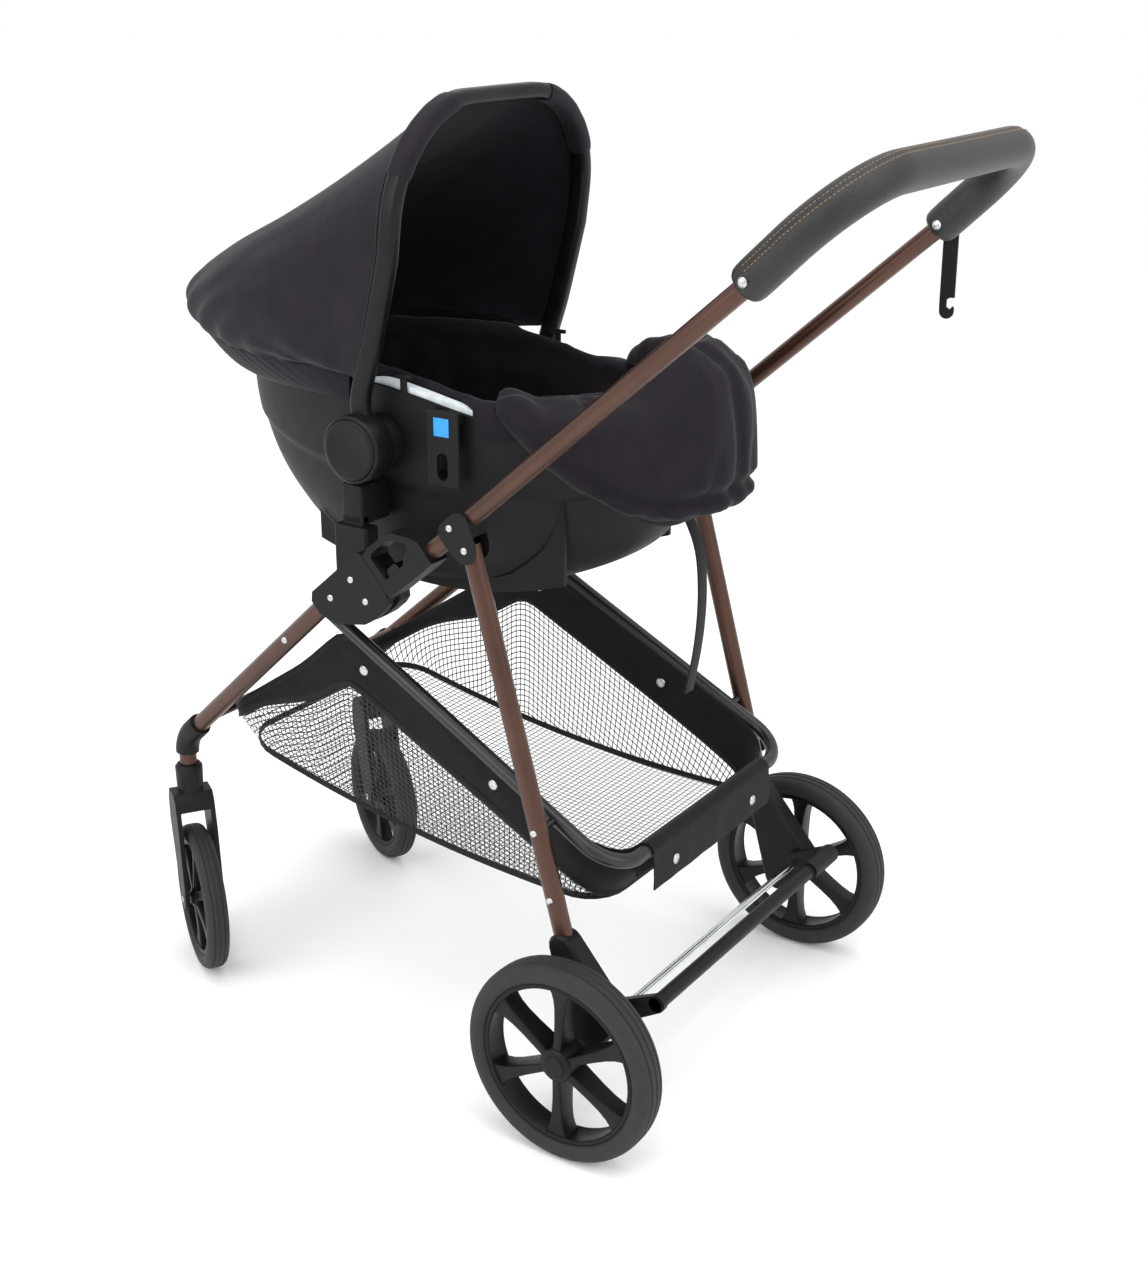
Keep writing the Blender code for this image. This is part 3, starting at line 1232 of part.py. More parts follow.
def hub_button(side):
    """The round release button in the hub's outer face."""
    low = BUTTON_FLOOR_X + BUTTON_TRAVEL + RUN
    profile = [(low, 0.0), (low, BUTTON_R), (HUB_FACE_X - 0.0018, BUTTON_R), (HUB_FACE_X, BUTTON_R - 0.0030),
               (HUB_FACE_X, 0.0)]
    profile = [(side * a, r) for a, r in profile]
    return lathe(f"hub_button_{side_name(side)}", profile, plastic, 24, (0, HUB_Y, HUB_Z), solid=True)


SLEEVE_WALL = 0.0012
SLEEVE_INNER_X = 0.080
SLEEVE_LOW_Z = 0.960


def sleeve_range(side):
    """The bow's points round one of its top corners, which a fabric sleeve covers."""
    return [p for p in carry_path() if p.x * side > SLEEVE_INNER_X and p.z > SLEEVE_LOW_Z]


def canopy_sleeve(side):
    """The cloth sleeve that holds the canopy's edge to the bow."""
    path = sleeve_range(side)
    return sweep(f"canopy_sleeve_{side_name(side)}", path, carry_section(GAP + SLEEVE_WALL), fabric,
                 side_hint=(0, 1, 0), hollow=carry_section(GAP))


def canopy_arch():
    """The bow's path above the canopy's hem."""
    arch = [p for p in carry_path() if p.z > CANOPY_LOW_Z + 0.004]
    share = (arch[0].z - CANOPY_LOW_Z) / (arch[1].z - arch[0].z)
    first = arch[0] + (arch[0] - arch[1]) * share
    return [first] + arch + [Vector((-first.x, first.y, first.z))]


def hem_point(t):
    """A point of the hood's elastic hem, from the near side round the head end to the far side."""
    across, out = math.cos(math.pi * t), math.sin(math.pi * t)
    x = math.copysign(HEM_HALF_WIDTH * abs(across) ** 0.83, across)
    y = HEM_Y - HEM_REACH * max(out, 0.0) ** 0.83
    return Vector((x, y, CANOPY_LOW_Z + HEM_RISE * max(out, 0.0) ** 3))


def canopy_point(path, i, v):
    """A point of the hood: i along the bow's arch, v from the bow to the hem."""
    last = len(path) - 1
    t = i / last
    crown = math.sin(math.pi * t)
    forward = (path[min(i + 1, last)] - path[max(i - 1, 0)]).normalized()
    lean = math.sqrt(1 - forward.y ** 2)
    start = path[i] - Vector((0, (CARRY_WIDTH / 2 + SLEEVE_WALL + 2 * GAP) / lean + 0.0006, 0))
    hem = hem_point(t)
    outward = Vector((math.cos(math.pi * t), -crown, 0))
    nose = hem + outward * NOSE_OUT * crown + Vector((0, 0, NOSE_UP * crown))
    brow = start.lerp(nose, 0.45)
    w = 1 - v
    point = start * w ** 3 + brow * (3 * w * w * v) + nose * (3 * w * v * v) + hem * v ** 3
    gather = GATHER * math.sin(2 * math.pi * GATHERS * t) * v * v * crown
    return point + Vector((0, 0, gather))


def canopy():
    """The hood's cloth from the bow to its gathered hem round the head end."""
    path = canopy_arch()
    count, steps = len(path), 9
    outer = [[canopy_point(path, i, j / steps) for i in range(count)] for j in range(steps + 1)]
    inner = []
    for j, row in enumerate(outer):
        line = []
        for i, point in enumerate(row):
            along = row[min(i + 1, count - 1)] - row[max(i - 1, 0)]
            down = outer[min(j + 1, steps)][i] - outer[max(j - 1, 0)][i]
            line.append(point - down.cross(along).normalized() * CANOPY_WALL)
        inner.append(line)
    bm = bmesh.new()
    sheets = [[[bm.verts.new(p) for p in row] for row in sheet] for sheet in (outer, inner)]
    for sheet in sheets:
        for low, high in zip(sheet, sheet[1:]):
            for i in range(count - 1):
                bm.faces.new((low[i], low[i + 1], high[i + 1], high[i]))
    front, back = sheets
    for j in range(steps):
        for i in (0, count - 1):
            bm.faces.new((front[j][i], front[j + 1][i], back[j + 1][i], back[j][i]))
    for i in range(count - 1):
        for j in (0, steps):
            bm.faces.new((front[j][i], front[j][i + 1], back[j][i + 1], back[j][i]))
    return finish("canopy", bm, fabric)


STRAP_POINTS = [(-0.018, 0.1987, 0.6400), (-0.020, 0.2110, 0.612), (-0.021, 0.2170, 0.586),
                (-0.022, 0.2190, 0.550), (-0.022, 0.2180, 0.514), (-0.021, 0.2145, 0.478),
                (-0.020, 0.2090, 0.445), (-0.019, 0.2060, 0.428)]


def adjuster_strap():
    """The free end of the harness webbing, hanging under the foot cover."""
    curve = bpy.data.curves.new("adjuster_strap", "CURVE")
    curve.dimensions = "3D"
    curve.bevel_depth = STRAP_R
    curve.bevel_resolution = 2
    curve.use_fill_caps = True
    path = smooth_path([Vector(p) for p in STRAP_POINTS], 2)
    spline = curve.splines.new("POLY")
    spline.points.add(len(path) - 1)
    for point, place in zip(spline.points, path):
        point.co = (*place, 1.0)
    curve.materials.append(webbing)
    made = bpy.data.objects.new("adjuster_strap", curve)
    bpy.context.scene.collection.objects.link(made)
    return made


def move_origin(made, point):
    """Puts an object's origin on a point, with its mesh where it was."""
    point = Vector(point)
    made.data.transform(Matrix.Translation(-point))
    made.location = point
    return made


cross_bar()
handle_tube()
handle_grip()
move_origin(transport_hook(), (HOOK_X, *HOOK_TOP))
hook_bolt()
rear_axle()
hook_knob()
move_origin(brake_bar(), (0, BRAKE_PIVOT_Y, BRAKE_PIVOT_Z))
move_origin(basket_frame(), (0, BASKET_PIVOT.y, BASKET_PIVOT.z))
basket_bag()
seat_shell()
foam_inset = SHELL_WALL + GAP
seat_tub("foam_liner", foam_inset, FOAM_WALL, FOAM_RISE, foam)
cover_inset = foam_inset + FOAM_WALL + GAP
seat_tub("seat_cover", cover_inset, COVER_WALL, COVER_RISE, fabric, quilt)
seat_tub("body_insert", INSERT_INSET, INSERT_WALL, COVER_RISE, fabric, insert_form, SEAT_LEVELS[2:])
apron()
harness()
buckle()
move_origin(buckle_button(), (0, -0.055, inner_floor(-0.055, 0.034)))
move_origin(carry_handle(), (0, HUB_Y, HUB_Z))
canopy()
adjuster_strap()
for side in (1, -1):
    front_leg(side)
    leg_elbow(side)
    side_plate(side)
    seat_adapter(side)
    grip_screw(side)
    move_origin(fold_knuckle(side), (side * HANDLE_X, FOLD_Y, FOLD_Z))
    release_trigger(side)
    leg_bracket(side)
    move_origin(rear_leg(side), (side * REAR_LEG_X, *LEG_PIVOT))
    rear_foot(side)
    for piece in rear_wheel(side):
        move_origin(piece, (side * REAR_WHEEL_X, REAR_AXLE_Y, REAR_WHEEL_R))
    fork = caster_fork(side)
    wheel = front_wheel(side)
    turned_caster(side, [fork] + wheel)
    hub = Matrix.Rotation(caster_yaw(side), 3, "Z") @ Vector((0, CASTER_TRAIL, 0))
    hub += Vector((side * CASTER_X, CASTER_Y, FRONT_WHEEL_R))
    move_origin(fork, (side * CASTER_X, CASTER_Y, FORK_CROWN_Z))
    for piece in wheel:
        move_origin(piece, hub)
    belt_guide(side)
    move_origin(hub_button(side), (side * HUB_FACE_X, HUB_Y, HUB_Z))
    canopy_sleeve(side)
for made in list(bpy.data.objects):
    made.location.y += CENTRE_Y
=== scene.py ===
# %% [markdown]
# # A folding pushchair with an infant car seat
# The measured model gives every hard part its size and place. This file dresses it: each cell adds
# one piece or one finish. Metres, +Z up, the front casters at -Y, the camera's side at +X.

# %% Load the measured model
import math

import bmesh
import bpy
import numpy as np
from mathutils import Matrix, Vector, noise


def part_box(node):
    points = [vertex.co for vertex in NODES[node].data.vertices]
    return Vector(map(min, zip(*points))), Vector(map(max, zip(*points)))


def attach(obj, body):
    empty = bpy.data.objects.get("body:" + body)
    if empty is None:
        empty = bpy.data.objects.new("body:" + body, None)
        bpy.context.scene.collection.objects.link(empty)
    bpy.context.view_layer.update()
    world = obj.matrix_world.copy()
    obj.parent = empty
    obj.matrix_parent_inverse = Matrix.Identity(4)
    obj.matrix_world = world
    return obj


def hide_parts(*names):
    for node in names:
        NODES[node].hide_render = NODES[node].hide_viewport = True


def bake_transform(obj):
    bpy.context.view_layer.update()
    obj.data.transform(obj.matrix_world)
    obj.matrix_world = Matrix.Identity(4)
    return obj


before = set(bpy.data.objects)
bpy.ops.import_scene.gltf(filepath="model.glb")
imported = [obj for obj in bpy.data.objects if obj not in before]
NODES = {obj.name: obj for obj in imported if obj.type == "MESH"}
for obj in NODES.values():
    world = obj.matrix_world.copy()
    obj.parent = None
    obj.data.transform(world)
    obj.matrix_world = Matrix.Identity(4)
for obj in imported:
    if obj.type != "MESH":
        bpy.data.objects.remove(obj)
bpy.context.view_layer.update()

# %% [markdown]
# ## Camera
# The photograph was taken from behind and beside the pushchair, from just over the seat's height. A
# camera could be placed by eye, but a wrong distance bends every proportion, so place, aim and lens
# come from measured lines. The small shift keeps the same part of the frame in view.
# Places in this file are measured from the photograph. CENTRED moves them to the model's own middle.

# %% Camera
CENTRED = Vector((0, -0.0245, 0))
LENS_MM, SENSOR_MM, SHIFT_UP = 51.66, 36.0, -0.0227
CAMERA_PLACE, CAMERA_AIM = Vector((1.657, 1.157, 1.216)), Vector((-0.785, -0.518, -0.338))
camera_data = bpy.data.cameras.new("view")
camera_data.lens = LENS_MM
camera_data.sensor_width = SENSOR_MM
camera_data.sensor_fit = "AUTO"
camera_data.shift_y = SHIFT_UP
camera_data.clip_end = 30
camera = bpy.data.objects.new("view", camera_data)
bpy.context.scene.collection.objects.link(camera)
camera.location = CAMERA_PLACE + CENTRED
camera.rotation_euler = CAMERA_AIM.to_track_quat("-Z", "Y").to_euler()
bpy.context.scene.camera = camera
bpy.context.scene.view_settings.view_transform = "Standard"
print("camera at", tuple(round(v, 3) for v in camera.location))

# %% [markdown]
# ## Finishes
# Colours are written as the sRGB hex that a paint chart gives and turned to linear light once. Nearly
# every surface drifts a little in colour, so most finishes are two close colours in soft blotches,
# with a bump for their grain. Patterns are sized in real millimetres on Object coordinates.


# %% Node helpers
def linear(code):
    """A hex colour as linear red, green and blue."""
    values = [int(code[i:i + 2], 16) / 255 for i in (1, 3, 5)]
    return [v / 12.92 if v <= 0.04045 else ((v + 0.055) / 1.055) ** 2.4 for v in values]


def add(tree, kind, settings=None, **links):
    """Adds a node. Links name its inputs: a socket connects, any other value is set."""
    node = tree.nodes.new(kind)
    for key, value in (settings or {}).items():
        setattr(node, key, value)
    for key, value in links.items():
        name = key.replace("_", " ")
        target = node.inputs[int(key[1:])] if key[0] == "i" and key[1:].isdigit() else node.inputs[name]
        if isinstance(value, bpy.types.NodeSocket):
            tree.links.new(value, target)
        else:
            target.default_value = value
    return node


def math_node(tree, operation, first, second):
    """One step of arithmetic between sockets or numbers."""
    return add(tree, "ShaderNodeMath", {"operation": operation}, i0=first, i1=second).outputs[0]


def object_place(tree):
    return add(tree, "ShaderNodeTexCoord").outputs["Object"]


def object_noise(tree, size_mm, detail=3.0, stretch=(1, 1, 1)):
    """Noise whose blotches are about size_mm across."""
    place = add(tree, "ShaderNodeMapping", Vector=object_place(tree), Scale=stretch).outputs["Vector"]
    return add(tree, "ShaderNodeTexNoise", Vector=place, Scale=1000 / size_mm, Detail=detail).outputs["Fac"]


# %% Finish helpers
def new_finish(name, roughness, metallic=0.0, **sockets):
    """A Principled material. Extra names set the shader's own sockets."""
    made = bpy.data.materials.new(name)
    made.use_nodes = True
    tree = made.node_tree
    shader = tree.nodes["Principled BSDF"]
    shader.inputs["Roughness"].default_value = roughness
    shader.inputs["Metallic"].default_value = metallic
    for key, value in sockets.items():
        shader.inputs[key.replace("_", " ")].default_value = value
    return made, tree, shader


def mottled(name, low, high, blotch_mm, roughness, metallic=0.0, detail=3.0, **sockets):
    """A finish whose colour drifts between two hex colours in blotches of a real size."""
    made, tree, shader = new_finish(name, roughness, metallic, **sockets)
    mix = add(tree, "ShaderNodeValToRGB", Fac=object_noise(tree, blotch_mm, detail))
    for stop, position, code in zip(mix.color_ramp.elements, (0.3, 0.7), (low, high)):
        stop.position = position
        stop.color = (*linear(code), 1)
    tree.links.new(mix.outputs["Color"], shader.inputs["Base Color"])
    return made, tree, shader


def bump(tree, shader, height, depth_mm, strength=1.0):
    """Joins a height to the shader's normal. depth_mm is the height's real depth."""
    node = add(tree, "ShaderNodeBump", Height=height, Strength=strength, Distance=depth_mm / 1000)
    tree.links.new(node.outputs["Normal"], shader.inputs["Normal"])


# %% [markdown]
# The tubes are aluminium with a brown metallic powder paint. A plain brown would look like plastic, so
# the paint is mostly metallic under a thin clear coat: a satin surface with a soft streak of light
# along the tube. Its flakes are drawn at 0.5 mm, coarser than real ones, so that they show.

# %% Bronze paint
bronze_paint, tree, shader = mottled("bronze_metallic_paint", "#472f25", "#52372b", 60, 0.34, 0.72,
                                     Coat_Weight=0.25, Coat_Roughness=0.25)
bump(tree, shader, object_noise(tree, 0.5, 1.0), 0.012, 0.5)
print("tube finish:", bronze_paint.name)

# %% [markdown]
# The basket's hoop has a plain black powder coat, satin with a faint orange peel of 0.8 mm.

# %% Black paint
black_paint, tree, shader = mottled("black_powder_paint", "#121214", "#18181a", 60, 0.36, 0.2,
                                    Coat_Weight=0.2, Coat_Roughness=0.3)
bump(tree, shader, object_noise(tree, 0.8, 2.0), 0.015, 0.5)
print("hoop finish:", black_paint.name)

# %% [markdown]
# Most fittings are glass-filled nylon or polypropylene, moulded in a spark-eroded tool. The grain is
# about 1 mm, so it shows only as a softer highlight and a faint mottle. One function makes them all,
# because they differ in nothing but polish and grain.


# %% Moulded black plastics
def moulded(name, low, high, roughness, grain_mm, depth_mm):
    """Black moulded plastic with a spark-eroded grain."""
    made, tree, shader = mottled(name, low, high, 35, roughness, IOR=1.49, Specular_IOR_Level=0.22)
    rough = add(tree, "ShaderNodeMapRange", Value=object_noise(tree, 18, 4), To_Min=roughness - 0.05,
                To_Max=roughness + 0.08)
    tree.links.new(rough.outputs["Result"], shader.inputs["Roughness"])
    bump(tree, shader, object_noise(tree, grain_mm, 2.0), depth_mm, 0.7)
    return made


black_moulding = moulded("moulded_black_nylon", "#0c0c0d", "#111112", 0.46, 0.7, 0.03)
shell_moulding = moulded("moulded_black_polypropylene", "#0d0d0f", "#131315", 0.50, 0.9, 0.03)
moulded_bow = moulded("smooth_black_polypropylene", "#0d0d0f", "#121214", 0.36, 1.0, 0.012)
gloss_moulding = moulded("polished_black_nylon", "#0a0a0b", "#0e0e0f", 0.24, 1.2, 0.008)
wheel_moulding = moulded("moulded_black_wheel_nylon", "#0b0b0c", "#111113", 0.42, 0.8, 0.03)
print("moulded finishes:", len(bpy.data.materials))

# %% [markdown]
# The tyres are foamed EVA: dull, slightly paler than the rims, with a skin of small closed cells. The
# small metal parts are bright steel, zinc plated where it is a fastener and chromed on the brake rod.
# Metals get their look from what they reflect, so roughness alone tells the two apart.

# %% Tyre and metals
tyre_foam, tree, shader = mottled("foamed_eva_tyre", "#19191a", "#212122", 14, 0.72, detail=5, IOR=1.5)
bump(tree, shader, object_noise(tree, 1.6, 4), 0.15, 0.6)
plated_steel, tree, shader = mottled("zinc_plated_steel", "#b4b4b6", "#c9c9cb", 4, 0.26, 1.0)
chromed_steel, tree, shader = mottled("chromed_steel", "#c3c7ca", "#d4d8da", 20, 0.12, 1.0)
print("tyre and metals:", tyre_foam.name, plated_steel.name, chromed_steel.name)

# %% [markdown]
# The seat's cloth is a smooth microfibre twill in charcoal with a trace of violet. Its threads are
# 0.4 mm, too fine to show from here, so the weave is drawn at 1.2 mm. Three crossed waves are the
# plainest weave that needs no unwrapping: whichever way the cloth faces, two of them lie in it.


# %% Woven cloth
def woven(name, low, high, thread_mm, roughness, sheen, crease_mm=0.0):
    """Plain woven cloth: crossed sets of threads, with slow creases where it lies slack."""
    made, tree, shader = mottled(name, low, high, 28, roughness, detail=4, Sheen_Weight=sheen,
                                 Sheen_Roughness=0.45, Specular_IOR_Level=0.18)
    place, waves = object_place(tree), []
    for axis in "XYZ":
        wave = add(tree, "ShaderNodeTexWave", {"bands_direction": axis}, Vector=place,
                   Scale=1000 / thread_mm / (2 * math.pi), Distortion=0.4)
        waves.append(wave.outputs["Fac"])
    both = math_node(tree, "ADD", math_node(tree, "ADD", waves[0], waves[1]), waves[2])
    height = math_node(tree, "MULTIPLY", both, 0.12)
    if crease_mm:
        crease = math_node(tree, "MULTIPLY", object_noise(tree, 22, 3, (1.0, 1.6, 1.0)), crease_mm / 0.3)
        height = math_node(tree, "ADD", height, crease)
    bump(tree, shader, height, 0.3, 0.8)
    return made


charcoal_cloth = woven("charcoal_microfibre", "#141016", "#1b161d", 1.2, 0.78, 0.06, 0.9)
hood_cloth = woven("charcoal_hood_cloth", "#151118", "#1c171f", 1.2, 0.72, 0.07, 0.7)
band_cloth = woven("black_polyester_cloth", "#0e0e10", "#141416", 1.6, 0.80, 0.08, 0.5)
strap_web = woven("black_polypropylene_webbing", "#0e0e10", "#151517", 2.0, 0.62, 0.06)
net_cord, tree, shader = mottled("black_net_cord", "#181a1a", "#222525", 25, 0.7, IOR=1.5)
print("cloths:", charcoal_cloth.name, hood_cloth.name, band_cloth.name, strap_web.name, net_cord.name)

# %% [markdown]
# The grip is foam in a stitched leatherette: PVC on cloth, embossed with a pebble grain of 2.4 mm cells.
# Voronoi cells with sunk borders give that grain. The liner is expanded polystyrene, whose beads of
# 4 mm show as soft bumps on a bluish white. The belt mark and the buckle's button are plain colours.

# %% Leatherette, thread, foam and coloured plastics
GRAIN_SCALE, BEAD_SCALE = 420.0, 260.0
grip_leather, tree, shader = mottled("embossed_leatherette", "#0f0f10", "#161617", 20, 0.42, IOR=1.5)
cells = add(tree, "ShaderNodeTexVoronoi", {"feature": "DISTANCE_TO_EDGE"}, Vector=object_place(tree),
            Scale=GRAIN_SCALE)
pebble = add(tree, "ShaderNodeMapRange", Value=cells.outputs["Distance"], From_Max=0.25).outputs["Result"]
bump(tree, shader, pebble, 0.22, 0.8)
tan_thread, tree, shader = mottled("tan_polyester_thread", "#8a6a4a", "#a3825c", 3, 0.6)
bead_foam, tree, shader = mottled("moulded_polystyrene_beads", "#cfd8de", "#e6ecef", 9, 0.6)
beads = add(tree, "ShaderNodeTexVoronoi", {"feature": "SMOOTH_F1"}, Vector=object_place(tree),
            Scale=BEAD_SCALE)
bump(tree, shader, beads.outputs["Distance"], 0.5, 0.5)
blue_mark, tree, shader = mottled("blue_moulded_polypropylene", "#1f8fe6", "#2a9bf2", 8, 0.4)
red_moulding, tree, shader = mottled("red_moulded_polypropylene", "#a01914", "#b3201a", 8, 0.4)
print("finishes:", len(bpy.data.materials))

# %% [markdown]
# ## Studio
# A white floor under an even white sky, and three large soft lights. The floor is as white as the
# sky, so no horizon shows, and it keeps the soft shadow under the wheels.

# %% Floor and lights
FLOOR_RADIUS = 60
paper, tree, shader = new_finish("white_paper", 0.9, Specular_IOR_Level=0.1)
shader.inputs["Base Color"].default_value = (1.0, 1.0, 1.0, 1)
bm = bmesh.new()
bmesh.ops.create_circle(bm, cap_ends=True, radius=FLOOR_RADIUS, segments=64)
mesh = bpy.data.meshes.new("paper_roll")
bm.to_mesh(mesh)
bm.free()
mesh.shade_smooth()
mesh.materials.append(paper)
floor = bpy.data.objects.new("paper_roll", mesh)
bpy.context.scene.collection.objects.link(floor)

world = bpy.data.worlds.new("studio")
bpy.context.scene.world = world
world.use_nodes = True
world.node_tree.nodes["Background"].inputs["Color"].default_value = (1, 1, 1, 1)
world.node_tree.nodes["Background"].inputs["Strength"].default_value = 1.0


def soft_light(name, place, aim, size, power):
    """A square soft box aimed at a point."""
    data = bpy.data.lights.new(name, "AREA")
    data.size = size
    data.energy = power
    made = bpy.data.objects.new(name, data)
    bpy.context.scene.collection.objects.link(made)
    made.location = place
    made.rotation_euler = (Vector(aim) - Vector(place)).to_track_quat("-Z", "Y").to_euler()
    print("light", name, power, "W")


soft_light("over", (0.3, 0.6, 3.2), (0, 0, 0.5), 2.6, 42)
soft_light("camera_left", (2.6, -0.8, 1.9), (0, 0, 0.6), 1.8, 30)
soft_light("camera_right", (0.4, 3.0, 2.0), (0, 0, 0.6), 1.8, 22)
bpy.context.view_layer.update()

# %% [markdown]
# ## Shape helpers
# A piece is drawn in a bmesh, which is the quickest way to give every point by a rule. Then it is
# merged, its faces are turned outwards, and it becomes an object whose place is in its vertices.


# %% Pieces
def piece(name, bm, finish, body, slot, *stands_for, smooth=42):
    """A finished piece from a bmesh, riding on a body and standing for CAD nodes."""
    bmesh.ops.remove_doubles(bm, verts=bm.verts, dist=1e-6)
    bmesh.ops.recalc_face_normals(bm, faces=bm.faces)
    bmesh.ops.translate(bm, vec=CENTRED, verts=bm.verts)
    mesh = bpy.data.meshes.new(name)
    bm.to_mesh(mesh)
    bm.free()
    mesh.shade_smooth()
    mesh.set_sharp_from_angle(angle=math.radians(smooth))
    mesh.materials.append(finish)
    made = bpy.data.objects.new(name, mesh)
    bpy.context.scene.collection.objects.link(made)
    if stands_for:
        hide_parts(*stands_for)
    if body:
        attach(made, body)
    print(name, "faces:", len(mesh.polygons))
    return made


# %% [markdown]
# Tubes, straps and the bow are one section swept along a path. A curve object with a bevel would do
# for round tubes, but points of our own also allow flat webbing, swelling sleeves and capped ends.


# %% Sections
def ellipse(half_across, half_up, count):
    """An ellipse as a list of points."""
    return [(half_across * math.cos(2 * math.pi * i / count), half_up * math.sin(2 * math.pi * i / count))
            for i in range(count)]


def disc(radius, count):
    return ellipse(radius, radius, count)


def rounded_box(half_across, half_up, radius, steps=4):
    """A rectangle with round corners."""
    points = []
    for quarter in range(4):
        a = (half_across - radius) * (1 if quarter in (0, 3) else -1)
        b = (half_up - radius) * (1 if quarter in (0, 1) else -1)
        for i in range(steps + 1):
            angle = (quarter + i / steps) * math.pi / 2
            points.append((a + radius * math.cos(angle), b + radius * math.sin(angle)))
    return points


# %% Sweeping
def frames_along(path, hint):
    """Position, side and up for each point of a path."""
    last, result = len(path) - 1, []
    for i, point in enumerate(path):
        before = (point - path[max(i - 1, 0)]).normalized()
        after = (path[min(i + 1, last)] - point).normalized()
        forward = (before + after).normalized()
        side = (hint - forward * hint.dot(forward)).normalized()
        result.append((point, side, forward.cross(side)))
    return result


def join_rings(bm, rings):
    """Quads between neighbouring rings."""
    for low, high in zip(rings, rings[1:]):
        for i in range(len(low)):
            j = (i + 1) % len(low)
            bm.faces.new((low[i], low[j], high[j], high[i]))


def skin(bm, rings):
    """Quads between rings and a cap on each end."""
    join_rings(bm, rings)
    bm.faces.new(rings[0])
    bm.faces.new(rings[-1])


def tube(bm, path, section, hint=(1, 0, 0), grow=None):
    """A capped tube in bm. grow(share along) scales the section."""
    path = [Vector(p) for p in path]
    rings = []
    for k, (point, side, up) in enumerate(frames_along(path, Vector(hint))):
        size = grow(k / (len(path) - 1)) if grow else 1.0
        rings.append([bm.verts.new(point + side * a * size + up * b * size) for a, b in section])
    skin(bm, rings)


def turned(bm, profile, centre, axis=(1, 0, 0), steps=72):
    """A closed (along, radius) profile turned about an axis. Points on the axis become poles."""
    axis = Vector(axis).normalized()
    side = axis.cross(Vector((0, 0, 1)) if abs(axis.z) < 0.9 else Vector((1, 0, 0))).normalized()
    up = axis.cross(side)
    rings = []
    for i in range(steps):
        angle = 2 * math.pi * i / steps
        out = side * math.cos(angle) + up * math.sin(angle)
        rings.append([bm.verts.new(Vector(centre) + axis * a + out * r) for a, r in profile])
    open_ends = profile[0][1] == 0 and profile[-1][1] == 0
    for ring, after in zip(rings, rings[1:] + rings[:1]):
        for j in range(len(profile) - (1 if open_ends else 0)):
            k = (j + 1) % len(profile)
            bm.faces.new((ring[j], ring[k], after[k], after[j]))


# %% Paths
def bend(corner, before, after, radius, steps):
    """Points of a round bend between two straight runs."""
    corner, before, after = Vector(corner), Vector(before), Vector(after)
    back, ahead = (before - corner).normalized(), (after - corner).normalized()
    half = back.angle(ahead) / 2
    reach = radius / math.tan(half)
    middle = corner + (back + ahead).normalized() * radius / math.sin(half)
    start, end = corner + back * reach - middle, corner + ahead * reach - middle
    axis, total = start.cross(end), start.angle(end)
    return [middle + Matrix.Rotation(total * i / steps, 3, axis) @ start for i in range(steps + 1)]


def spline(a, b, c, d, t):
    """A point between b and c of the smooth curve through a, b, c and d."""
    return 0.5 * ((2 * b) + (c - a) * t + (2 * a - 5 * b + 4 * c - d) * t * t
                  + (3 * b - a - 3 * c + d) * t ** 3)


def smooth_path(points, per_span):
    """A smooth curve through points."""
    points = [Vector(p) for p in points]
    ends = [points[0] * 2 - points[1]] + points + [points[-1] * 2 - points[-2]]
    spans = zip(ends, ends[1:], ends[2:], ends[3:])
    return [spline(*span, i / per_span) for span in spans for i in range(per_span)] + [points[-1]]


def both_sides(half, middle=()):
    """A path from one side to the other, mirrored over the middle."""
    return half + list(middle) + [p * Vector((-1, 1, 1)) for p in reversed(half)]


SIDES = ((1, "near"), (-1, "far"))

# %% [markdown]
# ## Frame tubes
# The handle folds about one point on each side, so places on it are measured along its own line from
# there. Each bent tube is drawn again with a finer bend than the model needs for its contacts.

# %% Lines of the frame
FOLD, HANDLE_ANGLE = Vector((0, -0.050, 0.556)), math.radians(41.0)
HOUSING_FACE_X = 0.2375


def on_handle(along, above=0.0, x=0.0):
    """A point on the handle's line, measured from the fold pivot."""
    c, s = math.cos(HANDLE_ANGLE), math.sin(HANDLE_ANGLE)
    return Vector((x, FOLD.y + along * c - above * s, FOLD.z + along * s + above * c))


LEG_PIVOT = on_handle(0.1585, -0.0238)
LEG_LINE = Vector((0, math.cos(math.radians(-74.8)), math.sin(math.radians(-74.8))))


def on_rear_leg(along, x=0.0):
    """A point down the rear leg from its own pivot."""
    return LEG_PIVOT + LEG_LINE * along + Vector((x, 0, 0))


print("fold pivot", tuple(FOLD), "rear leg pivot", tuple(round(v, 3) for v in LEG_PIVOT))

# %% [markdown]
# A front leg runs down and forward and bends upright over its caster. A nylon sleeve covers the bend:
# it follows the same path, a little thicker, with its first ring drawn in.

# %% Front legs and elbows
LEG_TOP, LEG_CORNER = Vector((0.2165, -0.064, 0.592)), Vector((0.179, -0.393, 0.300))
LEG_R, LEG_BEND, LEG_FOOT_Z, SLEEVE_WALL = 0.0105, 0.045, 0.228, 0.0038
leg_down = (LEG_CORNER - LEG_TOP).normalized()
for side, where in SIDES:
    mirror = Vector((side, 1, 1))
    foot = Vector((LEG_CORNER.x, LEG_CORNER.y, LEG_FOOT_Z))
    path = [LEG_TOP] + bend(LEG_CORNER, LEG_TOP, foot, LEG_BEND, 14) + [foot]
    bm = bmesh.new()
    tube(bm, [p * mirror for p in path], disc(LEG_R, 32))
    piece(f"leg_tube_{where}", bm, bronze_paint, "front_frame", "painted_tube", f"front_leg_{where}")
    sleeve = [path[1] - leg_down * 0.020, path[1] - leg_down * 0.017] + path[1:-2]
    bm = bmesh.new()
    tube(bm, [p * mirror for p in sleeve], disc(LEG_R + SLEEVE_WALL, 36),
         grow=lambda t: 1.0 if t > 0.02 else 0.93)
    piece(f"elbow_sleeve_{where}", bm, black_moulding, "front_frame", "black_plastic", f"leg_elbow_{where}")

